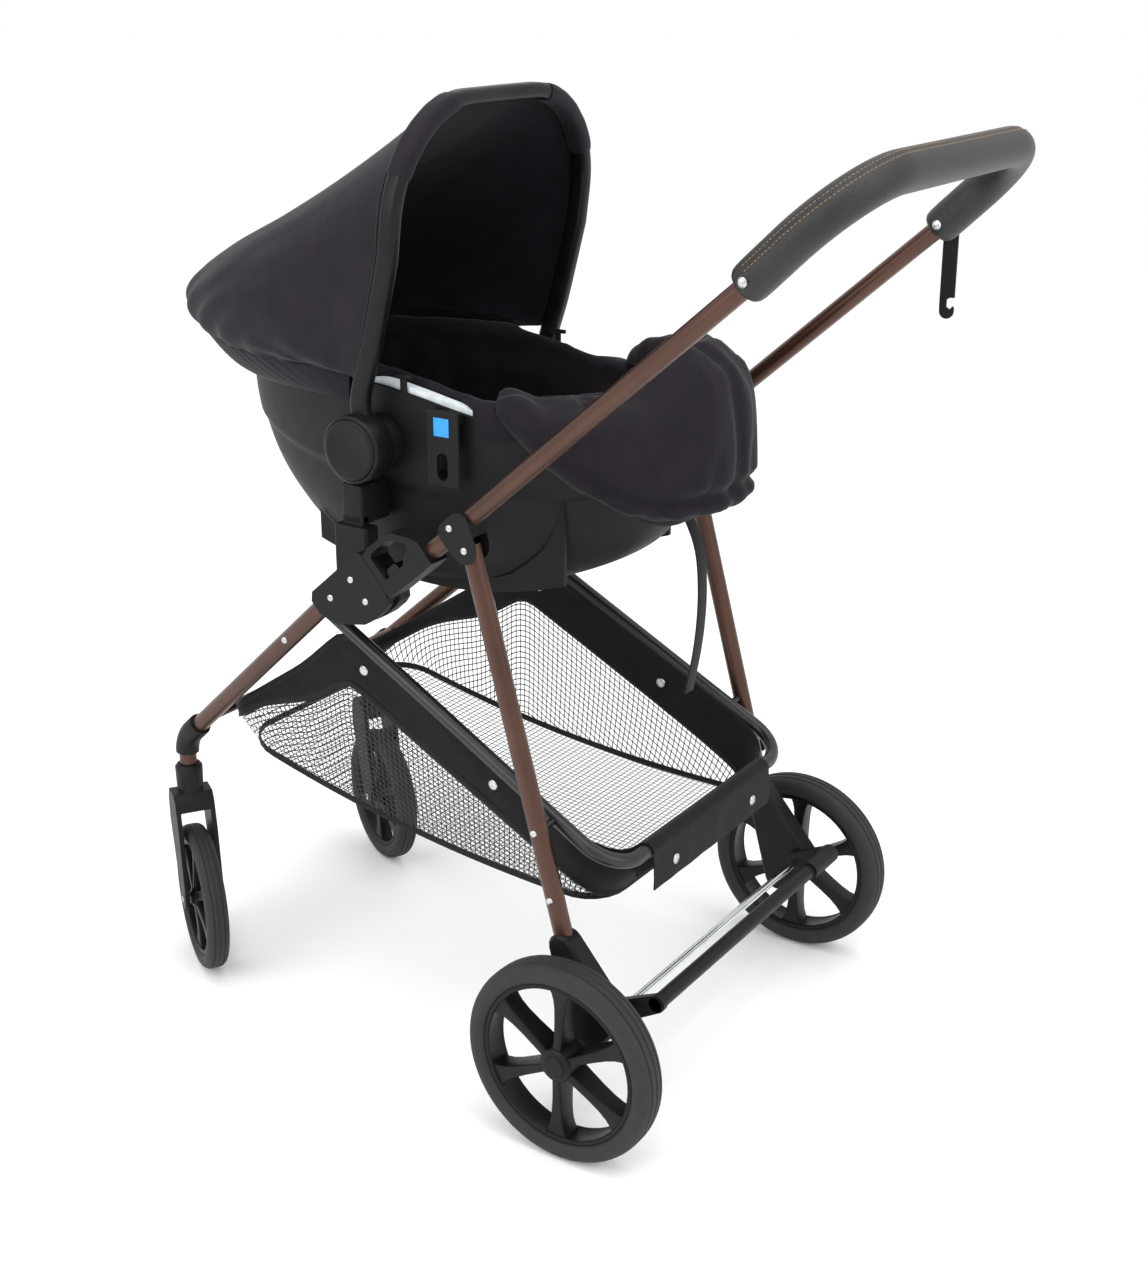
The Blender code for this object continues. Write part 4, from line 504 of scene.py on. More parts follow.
# %% [markdown]
# The push handle is one tube: up one side, round two wide bends and down the other. Only half of its
# path is worked out, and the rest is its mirror image.

# %% Push handle
HANDLE_X, HANDLE_TOP_X, HANDLE_R, HANDLE_BEND = 0.2228, 0.2147, 0.010, 0.085
GRIP_START = 0.578
HANDLE_NORMAL = (0, -math.sin(HANDLE_ANGLE), math.cos(HANDLE_ANGLE))
HANDLE_CORNER = Vector((HANDLE_TOP_X, 0.4905, 1.034))
grip_start = on_handle(GRIP_START, 0, HANDLE_TOP_X)
grip_run = (HANDLE_CORNER - grip_start).normalized()
handle_bend = bend(HANDLE_CORNER, grip_start, (0, HANDLE_CORNER.y, HANDLE_CORNER.z), HANDLE_BEND, 18)
handle_half = [on_handle(0.090, 0, HANDLE_X), on_handle(0.1885, 0, HANDLE_X), grip_start,
               grip_start + grip_run * 0.02] + handle_bend
bm = bmesh.new()
tube(bm, both_sides(handle_half), disc(HANDLE_R, 32), HANDLE_NORMAL)
piece("push_tube", bm, bronze_paint, "handle", "painted_tube", "handle_tube")

# %% [markdown]
# The rear legs are straight, and are measured from their own pivot on the handle.

# %% Rear legs
LEG_X = 0.2228
for side, where in SIDES:
    bm = bmesh.new()
    tube(bm, [on_rear_leg(-0.004, side * LEG_X), on_rear_leg(0.452, side * LEG_X)], disc(LEG_R, 32))
    piece(f"rear_tube_{where}", bm, bronze_paint, "rear_frame", "painted_tube", f"rear_leg_{where}")

# %% [markdown]
# The basket hangs from a hoop bent from one tube, open at the front. It turns on pins at the front
# legs and rests on pins at the rear legs, and slopes down between and past them.

# %% Basket hoop
HOOP_R, HOOP_BEND, PIN_R = 0.0080, 0.045, 0.004
BASKET_PIVOT, BASKET_HOLE = LEG_TOP + leg_down * 0.1165, on_rear_leg(0.3088)
hoop_front = Vector((0.1795, BASKET_PIVOT.y, BASKET_PIVOT.z))
slope = (BASKET_HOLE - Vector((0, hoop_front.y, hoop_front.z))).normalized()
hoop_corner = BASKET_HOLE + slope * 0.088
hoop_corner.x = 0.1930
hoop_half = [hoop_front + (hoop_front - hoop_corner).normalized() * 0.010]
hoop_half += bend(hoop_corner, hoop_front, (0, hoop_corner.y, hoop_corner.z), HOOP_BEND, 16)
bm = bmesh.new()
tube(bm, both_sides(hoop_half), disc(HOOP_R, 32), (0, -slope.z, slope.y))
for side, _ in SIDES:
    for centre, low, high in ((BASKET_PIVOT, 0.1795, 0.2050), (BASKET_HOLE, 0.189, 0.2117)):
        ends = [Vector((side * x, centre.y, centre.z)) for x in (low, high)]
        tube(bm, ends, disc(PIN_R, 24), (0, 1, 0))
piece("basket_hoop", bm, black_paint, "basket", "black_tube", "basket_frame")

# %% [markdown]
# A low bar joins the front legs and carries the basket's front edge.

# %% Cross bar
CROSS_BAR = LEG_TOP + leg_down * 0.385
bm = bmesh.new()
reach = CROSS_BAR.x - 0.0122
tube(bm, [(x, CROSS_BAR.y, CROSS_BAR.z) for x in (-reach, reach)], disc(0.0065, 24), (0, 1, 0))
piece("cross_bar", bm, bronze_paint, "front_frame", "painted_tube", "front_cross_bar")

# %% [markdown]
# ## Grip
# The grip is a foam sleeve in leatherette, closed by a tan double seam along its upper outer side. Its
# ends are rounded over the tube. The seam pulls the leatherette in a little, so each ring of points
# has a shallow dip there.

# %% Grip
GRIP_R, SEAM_TURN, SEAM_DIP, SEAM_HALF = 0.0200, math.radians(62), 0.0008, 0.16
END_SIZES = (0.70, 0.86, 0.95, 0.985)
grip_half = [grip_start + grip_run * d for d in (0.0, 0.002, 0.005, 0.010, 0.02)] + handle_bend
grip_path = both_sides(grip_half)
bm = bmesh.new()
rings, seams = [], [[], []]
for k, (point, across_grip, up) in enumerate(frames_along(grip_path, Vector(HANDLE_NORMAL))):
    from_end = min(k, len(grip_path) - 1 - k)
    size = END_SIZES[from_end] if from_end < len(END_SIZES) else 1.0
    ring = []
    for i in range(64):
        angle = 2 * math.pi * i / 64
        r = GRIP_R * size - SEAM_DIP * math.exp(-((angle - SEAM_TURN) / 0.07) ** 2)
        ring.append(bm.verts.new(point + across_grip * math.cos(angle) * r + up * math.sin(angle) * r))
    rings.append(ring)
    if from_end >= len(END_SIZES):
        for seam, angle in zip(seams, (SEAM_TURN - SEAM_HALF, SEAM_TURN + SEAM_HALF)):
            out = across_grip * math.cos(angle) + up * math.sin(angle)
            seam.append(point + out * (GRIP_R + 0.0001))
skin(bm, rings)
piece("grip_sleeve", bm, grip_leather, "handle", "grip_leather", "handle_grip", smooth=60)

# %% [markdown]
# Stitches are one small shape set out many times, which is what Geometry Nodes do best. The tree cuts
# a curve into equal steps and lays one thread on each, in line with it. Copies are made real, because
# a model that leaves Blender loses instances. A stitch is 3.2 mm long and the next starts 4.5 mm on.


# %% Stitches
def stitch_nodes():
    """Geometry Nodes: one short thread capsule every so many metres along a curve."""
    tree = bpy.data.node_groups.new("stitches", "GeometryNodeTree")
    tree.interface.new_socket("Geometry", in_out="INPUT", socket_type="NodeSocketGeometry")
    for name, value in (("Pitch", 0.0045), ("Thread", 0.0004), ("Length", 0.0032)):
        tree.interface.new_socket(name, in_out="INPUT", socket_type="NodeSocketFloat").default_value = value
    tree.interface.new_socket("Material", in_out="INPUT", socket_type="NodeSocketMaterial")
    tree.interface.new_socket("Geometry", in_out="OUTPUT", socket_type="NodeSocketGeometry")
    given = tree.nodes.new("NodeGroupInput")
    out = tree.nodes.new("NodeGroupOutput")
    curve = add(tree, "GeometryNodeResampleCurve", {"mode": "LENGTH"}, Curve=given.outputs["Geometry"],
                Length=given.outputs["Pitch"])
    tangent = add(tree, "GeometryNodeInputTangent").outputs[0]
    turn = add(tree, "FunctionNodeAlignRotationToVector", {"axis": "Z"}, Vector=tangent).outputs[0]
    thread = add(tree, "GeometryNodeMeshUVSphere", Segments=8, Rings=6, Radius=1.0)
    size = add(tree, "ShaderNodeCombineXYZ", X=given.outputs["Thread"], Y=given.outputs["Thread"])
    half_length = add(tree, "ShaderNodeMath", {"operation": "MULTIPLY"}, i0=given.outputs["Length"], i1=0.5)
    tree.links.new(half_length.outputs[0], size.inputs["Z"])
    placed = add(tree, "GeometryNodeInstanceOnPoints", Points=curve.outputs[0],
                 Instance=thread.outputs["Mesh"], Rotation=turn, Scale=size.outputs[0])
    real = add(tree, "GeometryNodeRealizeInstances", Geometry=placed.outputs[0])
    smooth = add(tree, "GeometryNodeSetShadeSmooth", Geometry=real.outputs[0])
    dressed = add(tree, "GeometryNodeSetMaterial", Geometry=smooth.outputs[0],
                  Material=given.outputs["Material"])
    tree.links.new(dressed.outputs[0], out.inputs["Geometry"])
    return tree


def stitched(name, lines, thread, body):
    """A piece made of stitches along lines of points."""
    curve = bpy.data.curves.new(name, "CURVE")
    curve.dimensions = "3D"
    for line in lines:
        row = curve.splines.new("POLY")
        row.points.add(len(line) - 1)
        for place, point in zip(line, row.points):
            point.co = (*(Vector(place) + CENTRED), 1)
    guide = bpy.data.objects.new(name, curve)
    bpy.context.scene.collection.objects.link(guide)
    step = guide.modifiers.new("stitches", "NODES")
    step.node_group = STITCHES
    ids = {item.name: item.identifier for item in STITCHES.interface.items_tree if item.in_out == "INPUT"}
    step[ids["Material"]] = thread
    bpy.context.view_layer.update()
    graph = bpy.context.evaluated_depsgraph_get()
    mesh = bpy.data.meshes.new_from_object(guide.evaluated_get(graph))
    bpy.data.objects.remove(guide, do_unlink=True)
    made = bpy.data.objects.new(name, mesh)
    bpy.context.scene.collection.objects.link(made)
    if not mesh.materials:
        mesh.materials.append(thread)
    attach(made, body)
    print(name, "faces:", len(mesh.polygons))
    return made


STITCHES = stitch_nodes()
stitched("grip_stitches", seams, tan_thread, "handle")

# %% [markdown]
# ## Wheels
# A wheel is a nylon rim with six spokes that widen outwards, an octagonal cap and a foam tyre. It is
# drawn upright at the origin, where its rules are plain, and then set on its axle.


# %% Rim
SPOKES, SPOKE_TURN, BAND = 6, 0.47, 0.0055


def spoke(bm, out, start, end, width):
    """One spoke from the hub to the band, wider and thinner on its way out."""
    shares = (0, 0.2, 0.45, 0.65, 0.8, 0.9, 0.96, 1.0)
    wide = (0.0048, 0.0050, 0.0058, 0.0068, 0.0084, 0.0108, 0.0132, 0.0160)
    deep = (0.40, 0.37, 0.33, 0.31, 0.31, 0.32, 0.33, 0.34)
    side_way = Vector((0, -out.z, out.y))
    rings = []
    for t, w, d in zip(shares, wide, deep):
        point = out * (start + (end - start) * t)
        rings.append([bm.verts.new(point + side_way * a + Vector((b, 0, 0)))
                      for a, b in rounded_box(w, d * width, min(0.0022, w * 0.4), 3)])
    skin(bm, rings)


def wheel_shape(bed, width, hub_r, cap_side):
    """A rim in its own frame: axle along X, centre at the origin."""
    bm = bmesh.new()
    lip, under = width / 2 * 0.76, bed - BAND
    turned(bm, [(-lip, bed), (lip, bed), (lip + 0.0006, bed - 0.0010), (lip + 0.0006, under + 0.0012),
                (lip - 0.0010, under), (lip - 0.0035, under + 0.0012), (-lip + 0.0035, under + 0.0012),
                (-lip + 0.0010, under), (-lip - 0.0006, under + 0.0012), (-lip - 0.0006, bed - 0.0010)],
           (0, 0, 0), steps=120)
    for i in range(SPOKES):
        angle = 2 * math.pi * (i + SPOKE_TURN) / SPOKES
        spoke(bm, Vector((0, math.cos(angle), math.sin(angle))), hub_r * 0.7, bed - BAND * 0.4, width)
    h = width / 2 * 0.95
    turned(bm, [(-h, 0.0), (-h, hub_r * 0.75), (-h * 0.9, hub_r * 0.97), (-h * 0.86, hub_r),
                (h * 0.86, hub_r), (h * 0.9, hub_r * 0.97), (h, hub_r * 0.80), (h, 0.0)], (0, 0, 0), steps=64)
    for s in ((cap_side,) if cap_side else (-1, 1)):
        turned(bm, [(s * h * 0.98, 0.0), (s * h * 0.98, hub_r * 0.70), (s * (h + 0.0006), hub_r * 0.70),
                    (s * (h + 0.0022), hub_r * 0.60), (s * (h + 0.0022), 0.0)], (0, 0, 0), steps=8)
    return bm


# %% [markdown]
# The tyre is turned from half a profile and its mirror image: a round shoulder and a tread with three
# shallow grooves.


# %% Tyre
def tyre_shape(bed, outer, width):
    """A tyre in its own frame."""
    half_width, depth = width / 2, outer - bed
    profile = [(-half_width * 0.74, bed + 0.0001)]
    side = [(-0.90, 0.12), (-1.0, 0.36), (-0.985, 0.52), (-0.93, 0.70), (-0.82, 0.84), (-0.66, 0.935),
            (-0.50, 0.975), (-0.47, 0.93), (-0.41, 0.93), (-0.38, 0.99), (-0.10, 1.0), (-0.07, 0.955),
            (0.0, 0.955)]
    profile += [(half_width * a, bed + depth * b) for a, b in side]
    profile += [(-a, r) for a, r in reversed(profile[:-1])]
    bm = bmesh.new()
    turned(bm, profile, (0, 0, 0), steps=144)
    return bm


# %% [markdown]
# The rear wheels stand square on their axle. The front ones trail behind their swivels, turned by a
# different angle on each side, as the photograph caught them.

# %% Wheels in place
YAW = {1: math.radians(-32.8), -1: math.radians(-27.2)}
TRAIL = Vector((0, 0.025, 0.092))
for side, where in SIDES:
    rear_place = Matrix.Translation((side * 0.2735, 0.231, 0.115))
    swivel = Matrix.Translation((side * LEG_CORNER.x, LEG_CORNER.y, 0)) @ Matrix.Rotation(YAW[side], 4, "Z")
    front_place = swivel @ Matrix.Translation(TRAIL)
    sizes = (("rear", rear_place, 0.115, 0.022, 0.038, 0.019, side),
             ("front", front_place, 0.092, 0.019, 0.028, 0.013, 0))
    for end, place, outer, depth, width, hub_r, cap in sizes:
        bm = wheel_shape(outer - depth, width, hub_r, cap)
        bm.transform(place)
        piece(f"{end}_wheel_{where}", bm, wheel_moulding, f"{end}_wheel_{where}", "black_plastic",
              f"{end}_rim_{where}", smooth=38)
        bm = tyre_shape(outer - depth, outer, width)
        bm.transform(place)
        piece(f"{end}_foam_tyre_{where}", bm, tyre_foam, f"{end}_wheel_{where}", "tyre_rubber",
              f"{end}_tyre_{where}", smooth=50)

# %% [markdown]
# ## Brake
# The brake is a black bar on two arms that turns about a thin chromed rod. Its far end carries a
# thicker sleeve, where a foot presses it. An arm is an oval plate round both centres.

# %% Brake
BRAKE_PIVOT, BRAKE_BAR = Vector((0, 0.262, 0.150)), Vector((0, 0.304, 0.172))
BAR_R, PRESS_R, ROD_R = 0.0085, 0.0115, 0.0035
inner = LEG_X - 0.0135 - 0.0006
bm = bmesh.new()
for low, high, r in ((-inner, inner, BAR_R), (-inner + 0.002, -inner + 0.060, PRESS_R)):
    tube(bm, [BRAKE_BAR + Vector((x, 0, 0)) for x in (low, high)], disc(r, 40), (0, 1, 0))
direction = (BRAKE_BAR - BRAKE_PIVOT).normalized()
up, middle = Vector((0, -direction.z, direction.y)), (BRAKE_PIVOT + BRAKE_BAR) / 2
outline = []
for centre, r, start in ((BRAKE_PIVOT, 0.0125, 90), (BRAKE_BAR, 0.0100, -90)):
    for i in range(17):
        a = math.radians(start + 180 * i / 16)
        outline.append(centre + direction * math.cos(a) * r + up * math.sin(a) * r)
arm_rings = ((inner - 0.009, 0.9), (inner - 0.0082, 1.0), (inner - 0.0008, 1.0), (inner, 0.9))
for side, _ in SIDES:
    skin(bm, [[bm.verts.new(middle + (p - middle) * shrink + Vector((side * x, 0, 0))) for p in outline]
              for x, shrink in arm_rings])
piece("brake_pedal", bm, black_moulding, "brake", "black_plastic", "brake_bar")
bm = bmesh.new()
reach = LEG_X + 0.0145
tube(bm, [BRAKE_PIVOT + Vector((x, 0, 0)) for x in (-reach, reach)], disc(ROD_R, 24), (0, 1, 0))
piece("brake_rod", bm, chromed_steel, "brake", "steel", "brake_bar")

# %% [markdown]
# ## Small mouldings
# The fold joints, brackets, feet, forks and the other small mouldings keep the measured shape. A
# perfectly sharp corner catches no light, so a bevel gives them the radius that a mould leaves.

# %% Kept parts
MOULD_RADIUS, SHARP_FROM = 0.0009, math.radians(35)
PAIRS = {"side_plate": black_moulding, "fold_knuckle": black_moulding, "release_trigger": gloss_moulding,
         "leg_bracket": black_moulding, "seat_adapter": black_moulding, "rear_foot": black_moulding,
         "caster_fork": black_moulding, "belt_guide": black_moulding, "front_axle": plated_steel,
         "grip_screw": plated_steel}
kept = {f"{name}_{where}": look for name, look in PAIRS.items() for _, where in SIDES}
kept |= {"transport_hook": gloss_moulding, "hook_bolt": plated_steel, "hook_knob": black_moulding,
         "buckle": gloss_moulding, "buckle_button": red_moulding, "rear_axle": plated_steel}
for name, look in kept.items():
    node = NODES[name]
    node.data.materials.clear()
    node.data.materials.append(look)
    weld = node.modifiers.new("weld", "WELD")
    weld.merge_threshold = 0.00002
    if look is not plated_steel:
        edge = node.modifiers.new("edge", "BEVEL")
        edge.width = MOULD_RADIUS
        edge.segments = 2
        edge.limit_method = "ANGLE"
        edge.angle_limit = SHARP_FROM
        edge.harden_normals = False
print("kept parts:", len(kept))

# %% [markdown]
# ## Car seat
# The shell, its foam and its padding are nested tubs of one shape: a ring of directions seen from
# above, and levels that narrow from the rim down to a rocker-shaped floor. One rule with an inset
# makes them all, so that they nest without touching.

# %% The tub's shape
HEAD_Y, WIDEST_Y, FOOT_Y, HALF_WIDTH = -0.375, -0.060, 0.225, 0.1500
CORNER_POWER = 0.90
LEVELS = [(1.0, 0.0), (0.990, 0.32), (0.962, 0.58), (0.915, 0.77), (0.84, 0.90), (0.72, 0.975), (0.55, 1.0)]
RIM_LINE = [(HEAD_Y - 0.05, 0.768), (-0.20, 0.775), (-0.085, 0.776), (-0.035, 0.768), (0.045, 0.751),
            (0.120, 0.757), (FOOT_Y + 0.05, 0.765)]


def smoothstep(low, high, value):
    t = min(max((value - low) / (high - low), 0.0), 1.0)
    return t * t * (3 - 2 * t)


def eased(line, y, steps):
    """A height from a line of (y, z) corners, averaged over steps to round the corners off."""
    return sum(float(np.interp(y + d, *zip(*line))) for d in steps) / len(steps)


def rim_z(y):
    """Height of the shell's edge."""
    return eased(RIM_LINE, y, (-0.012, -0.006, 0, 0.006, 0.012))


def floor_z(y):
    return 0.545 + (y + 0.050) ** 2


def squared(turn):
    """How far across a direction reaches: a circle with its sides a little squared."""
    across = math.sin(turn)
    return math.copysign(abs(across) ** CORNER_POWER, across) if abs(across) > 1e-9 else 0.0


def tub_point(turn, scale, depth, inset, rise=0.0):
    """A point of the tub: turn goes round from the head end, scale and depth run down the side."""
    along = -math.cos(turn)
    reach = FOOT_Y - WIDEST_Y if along > 0 else WIDEST_Y - HEAD_Y
    y = WIDEST_Y + along * scale * (reach - inset)
    rim = rim_z(WIDEST_Y + along * reach) + rise
    z = rim + (floor_z(y) + inset - rim) * depth
    return Vector((squared(turn) * (HALF_WIDTH - inset) * scale, y, z))


def level(t):
    """Scale and depth at a share t of the way down, on a smooth curve through LEVELS."""
    place = t * (len(LEVELS) - 1)
    i = min(int(place), len(LEVELS) - 2)
    corners = (Vector(LEVELS[min(max(k, 0), len(LEVELS) - 1)]) for k in (i - 1, i, i + 1, i + 2))
    p = spline(*corners, place - i)
    return min(p.x, 1.0), min(max(p.y, 0.0), 1.0)


def bowl(bm, place, turns=112, rows=30, top=0.0):
    """One skin of a tub with its floor. place(turn, share) gives the points."""
    rings = []
    for j in range(rows + 1):
        share = top + (1 - top) * j / rows
        rings.append([bm.verts.new(place(2 * math.pi * i / turns, share)) for i in range(turns)])
    join_rings(bm, rings)
    last = rings[-1]
    for i in range(turns // 2):
        corners = [last[i], last[i + 1], last[(turns - i - 1) % turns], last[(turns - i) % turns]]
        corners = [v for k, v in enumerate(corners) if v not in corners[:k]]
        bm.faces.new(corners)
    return rings


print("rim at the hubs", round(rim_z(-0.091), 4), "floor", round(floor_z(-0.050), 4))

# %% [markdown]
# The shell has a rolled edge and a step half way down its side. Its hub bosses, lugs, tongues and
# rockers are part of the same moulding, so they go into the same piece. A rocker is a thin skirt
# between the shell's underside and the curve that the seat rocks on.


# %% Seat shell helpers
def block(bm, xs, ys, zs, edge=0.0015):
    """A block with rounded edges."""
    made = bmesh.ops.create_cube(bm, size=1.0)
    low, high = (Vector((xs[i], ys[i], zs[i])) for i in (0, 1))
    for v in made["verts"]:
        v.co = (low + high) / 2 + Vector(a * b for a, b in zip(v.co, high - low))
    edges = list(dict.fromkeys(e for v in made["verts"] for e in v.link_edges))
    bmesh.ops.bevel(bm, geom=edges, offset=edge, segments=3, affect="EDGES", profile=0.5)


def shell_place(turn, share):
    scale, depth = level(share)
    step = 0.0035 * smoothstep(0.46, 0.50, depth) * (1 - smoothstep(0.86, 0.99, depth))
    return tub_point(turn, scale, depth, step)


def shell_z(x, y):
    """Height of the shell's outside over a point of the plan."""
    along = (y - WIDEST_Y) / ((FOOT_Y - WIDEST_Y) if y > WIDEST_Y else (WIDEST_Y - HEAD_Y))
    low, high = 0.3, 1.0
    for _ in range(24):
        middle = (low + high) / 2
        far_out = (abs(x) / (HALF_WIDTH * middle)) ** (2 / CORNER_POWER) + (along / middle) ** 2 > 1
        low, high = (middle, high) if far_out else (low, middle)
    scales, depths = zip(*reversed(LEVELS))
    depth = float(np.interp(middle, scales, depths))
    return rim_z(y) + (floor_z(y) - rim_z(y)) * depth


# %% Seat shell
HUB, SHELL_WALL = Vector((0, -0.091, 0.714)), 0.0045
BOSS = ((0.143, 0.0), (0.143, 0.032), (0.152, 0.0305), (0.1692, 0.0270), (0.1692, 0.008), (0.188, 0.008),
        (0.188, 0.0))
SHELL_BLOCKS = (((0.1395, 0.189), (-0.115, -0.087), (0.6268, 0.6725), 0.003),   # lug under the hub
                ((0.178, 0.189), (-0.115, -0.087), (0.600, 0.637), 0.001),      # tongue in the adapter
                ((0.1462, 0.1492), (-0.061, -0.053), (0.765, 0.789), 0.0006),   # post of the T peg
                ((0.1455, 0.1500), (-0.068, -0.046), (0.787, 0.7915), 0.001))   # bar of the T peg
ROCKER_XS, ROCKER_START, ROCKER_LONG, ROCKER_STEPS = (0.107, 0.112), -0.215, 0.340, 40
bm = bmesh.new()
outer = bowl(bm, shell_place, rows=60)
inside = bowl(bm, lambda turn, share: tub_point(turn, *level(share), SHELL_WALL), rows=30)
lip = [bm.verts.new((a.co + b.co) / 2 + Vector((0, 0, 0.0012))) for a, b in zip(outer[0], inside[0])]
join_rings(bm, [outer[0], lip, inside[0]])
ys = [ROCKER_START + ROCKER_LONG * i / ROCKER_STEPS for i in range(ROCKER_STEPS + 1)]
for side, _ in SIDES:
    turned(bm, [(side * a, r) for a, r in BOSS], HUB, steps=56)
    for xs, block_ys, zs, edge in SHELL_BLOCKS:
        block(bm, sorted(side * x for x in xs), block_ys, zs, edge)
    rings = []
    for x in sorted(side * x for x in ROCKER_XS):
        outline = [(y, floor_z(y) + 0.0003) for y in ys] + [(y, shell_z(x, y) + 0.0012) for y in reversed(ys)]
        rings.append([bm.verts.new((x, y, z)) for y, z in outline])
    join_rings(bm, rings)
    for ring in rings:
        for i in range(ROCKER_STEPS):
            bm.faces.new((ring[i], ring[i + 1], ring[2 * ROCKER_STEPS - i], ring[2 * ROCKER_STEPS + 1 - i]))
piece("seat_shell_moulding", bm, shell_moulding, "car_seat", "black_plastic", "seat_shell")

# %% [markdown]
# A blue plate on each belt guide shows where the car's belt goes. It carries no letters here.

# %% Blue mark on the belt guide
bm = bmesh.new()
for side, _ in SIDES:
    block(bm, sorted((side * 0.1615, side * 0.1627)), (-0.0070, 0.0130), (0.7340, 0.7540), 0.0005)
piece("belt_guide_marks", bm, blue_mark, "car_seat", None)

# %% [markdown]
# ## Padding
# A foam liner shows as a white edge beside the hubs. The charcoal cover is rolled over it at the head
# and foot ends, and a softer insert lies inside. Cloth could be simulated, but stitched and stuffed
# padding hardly moves, so wrinkles come from noise pulled across the cloth.


# %% Foam liner
def wrinkle(bm, size, depth, stretch=(1, 1, 1), seed=0.0):
    """Moves points along their normals by smooth noise, as slack cloth lies."""
    bm.normal_update()
    stretch = Vector(stretch)
    for v in bm.verts:
        place = Vector(a * b for a, b in zip(v.co, stretch)) / size + Vector((seed, seed * 0.7, 0))
        ridge = 1 - abs(noise.noise(place)) * 2
        v.co += v.normal * depth * (ridge + 0.5 * noise.noise(place * 2.3))


bm = bmesh.new()
FOAM_OUT, FOAM_IN, FOAM_RISE = 0.0051, 0.0185, 0.006
outer, inside = (bowl(bm, lambda turn, share: tub_point(turn, *level(share), inset, FOAM_RISE), rows=24)
                 for inset in (FOAM_OUT, FOAM_IN))
join_rings(bm, [outer[0], inside[0]])
piece("foam_shell", bm, bead_foam, "car_seat", "white_foam", "foam_liner", smooth=60)

# %% [markdown]
# The cover lines the foam in channels and is rolled over its edge. Beside the hubs it leaves the foam
# bare, so its edge is narrow there and wide elsewhere. All its rings share one set of directions.

# %% Seat cover
COVER_IN, COVER_RISE, COVER_TURNS = 0.0295, 0.010, 160
COVER_OUT, COVER_HEM, COVER_BARE = 0.0032, 0.0030, 0.0195


def bare_edge(y):
    """1 where the cover leaves the foam bare, 0 where it wraps the edge."""
    return smoothstep(-0.115, -0.085, y) * (1 - smoothstep(0.000, 0.030, y))


def cover_skin(turn, share):
    scale, depth = level(share)
    p = tub_point(turn, scale, depth, COVER_IN, COVER_RISE)
    channel = abs(math.sin(math.pi * p.y / 0.062)) ** 0.5
    full = 0.006 * channel * smoothstep(0.05, 0.25, depth)
    inward = Vector((-p.x, -(p.y - WIDEST_Y) * 0.25, 0.06))
    return p + inward.normalized() * full


bm = bmesh.new()
inside = bowl(bm, cover_skin, turns=COVER_TURNS, rows=56)
around = []
for i in range(COVER_TURNS):
    turn = 2 * math.pi * i / COVER_TURNS
    base = tub_point(turn, 1.0, 0.0, COVER_IN, COVER_RISE)
    around.append((turn, base, bare_edge(base.y)))
edge_rings = []
for k in range(11):
    angle, ring = math.pi * k / 10, []
    for turn, base, bare in around:
        far = tub_point(turn, 1.0, 0.0, -COVER_OUT + (COVER_BARE + COVER_OUT) * bare, COVER_RISE)
        lift = 0.010 * (1 - bare) + 0.005 * bare
        puff = 1 + 0.12 * noise.noise(Vector((turn * 9, 0.3, 0)))
        raised = Vector((0, 0, lift * math.sin(angle) * puff))
        ring.append(bm.verts.new((base + far) / 2 - (far - base) / 2 * math.cos(angle) + raised))
    edge_rings.append(ring)
low = []
for turn, _, bare in around:
    hang = 0.030 * (1 - bare) + 0.004 * bare
    under = tub_point(turn, 1.0, 0.0, -COVER_HEM + (COVER_BARE + COVER_HEM) * bare, COVER_RISE)
    low.append(bm.verts.new(under - Vector((0, 0, hang))))
join_rings(bm, [inside[0]] + edge_rings[1:] + [low])
wrinkle(bm, 0.045, 0.0016, (1, 1.4, 1), 3.0)
cover = piece("cover_cloth", bm, charcoal_cloth, "car_seat", "charcoal_fabric", "seat_cover", smooth=70)

# %% [markdown]
# The body insert is a smaller tub inside the cover. Two skins a cushion's thickness apart are joined
# by a round edge, and the upper one swells between its seams.

# %% Body insert
FOAM_THICK, COVER_THICK, INSERT_GAP, INSERT_THICK = 0.014, 0.012, 0.0012, 0.013
INSERT_OUT = SHELL_WALL + FOAM_THICK + COVER_THICK + INSERT_GAP
INSERT_TOP = 0.34


def insert_skin(thickness):
    def place(turn, share):
        scale, depth = level(share)
        p = tub_point(turn, scale, depth, INSERT_OUT + thickness, COVER_RISE)
        channel = abs(math.sin(math.pi * (p.y + 0.01) / 0.070)) ** 0.6
        across = Vector((-p.x, 0, 0.05)).normalized()
        crown = 0.007 * channel if thickness else 0.0
        return p + across * crown
    return place


bm = bmesh.new()
under = bowl(bm, insert_skin(0.0), turns=160, rows=36, top=INSERT_TOP)
over = bowl(bm, insert_skin(INSERT_THICK), turns=160, rows=50, top=INSERT_TOP)
edge_rings = []
for k in range(1, 8):
    angle = math.pi * k / 8
    raised = Vector((0, 0, 0.008 * math.sin(angle)))
    edge_rings.append([bm.verts.new((a.co + b.co) / 2 - (b.co - a.co) / 2 * math.cos(angle) + raised)
                       for a, b in zip(under[0], over[0])])
join_rings(bm, [under[0]] + edge_rings + [over[0]])
wrinkle(bm, 0.038, 0.0014, (1, 1.5, 1), 7.0)
insert = piece("insert_cushion", bm, charcoal_cloth, "car_seat", "charcoal_fabric", "body_insert", smooth=70)

# %% [markdown]
# The foot cover is a quilted pocket: it lies over the rim at the foot end, swells out between its
# upright seams and is drawn in by elastic along its lower edge. Its near side is pushed down, as in
# the photograph. A closed section changes from column to column round the foot end.

# %% Foot cover
COLUMNS, SPAN, END_COLUMNS = 120, math.radians(66), 13
RIM_LIFT, INSIDE_REACH, SEAM_DEPTH = 0.0118, 0.0305, 0.0060
foot_reach = FOOT_Y - WIDEST_Y


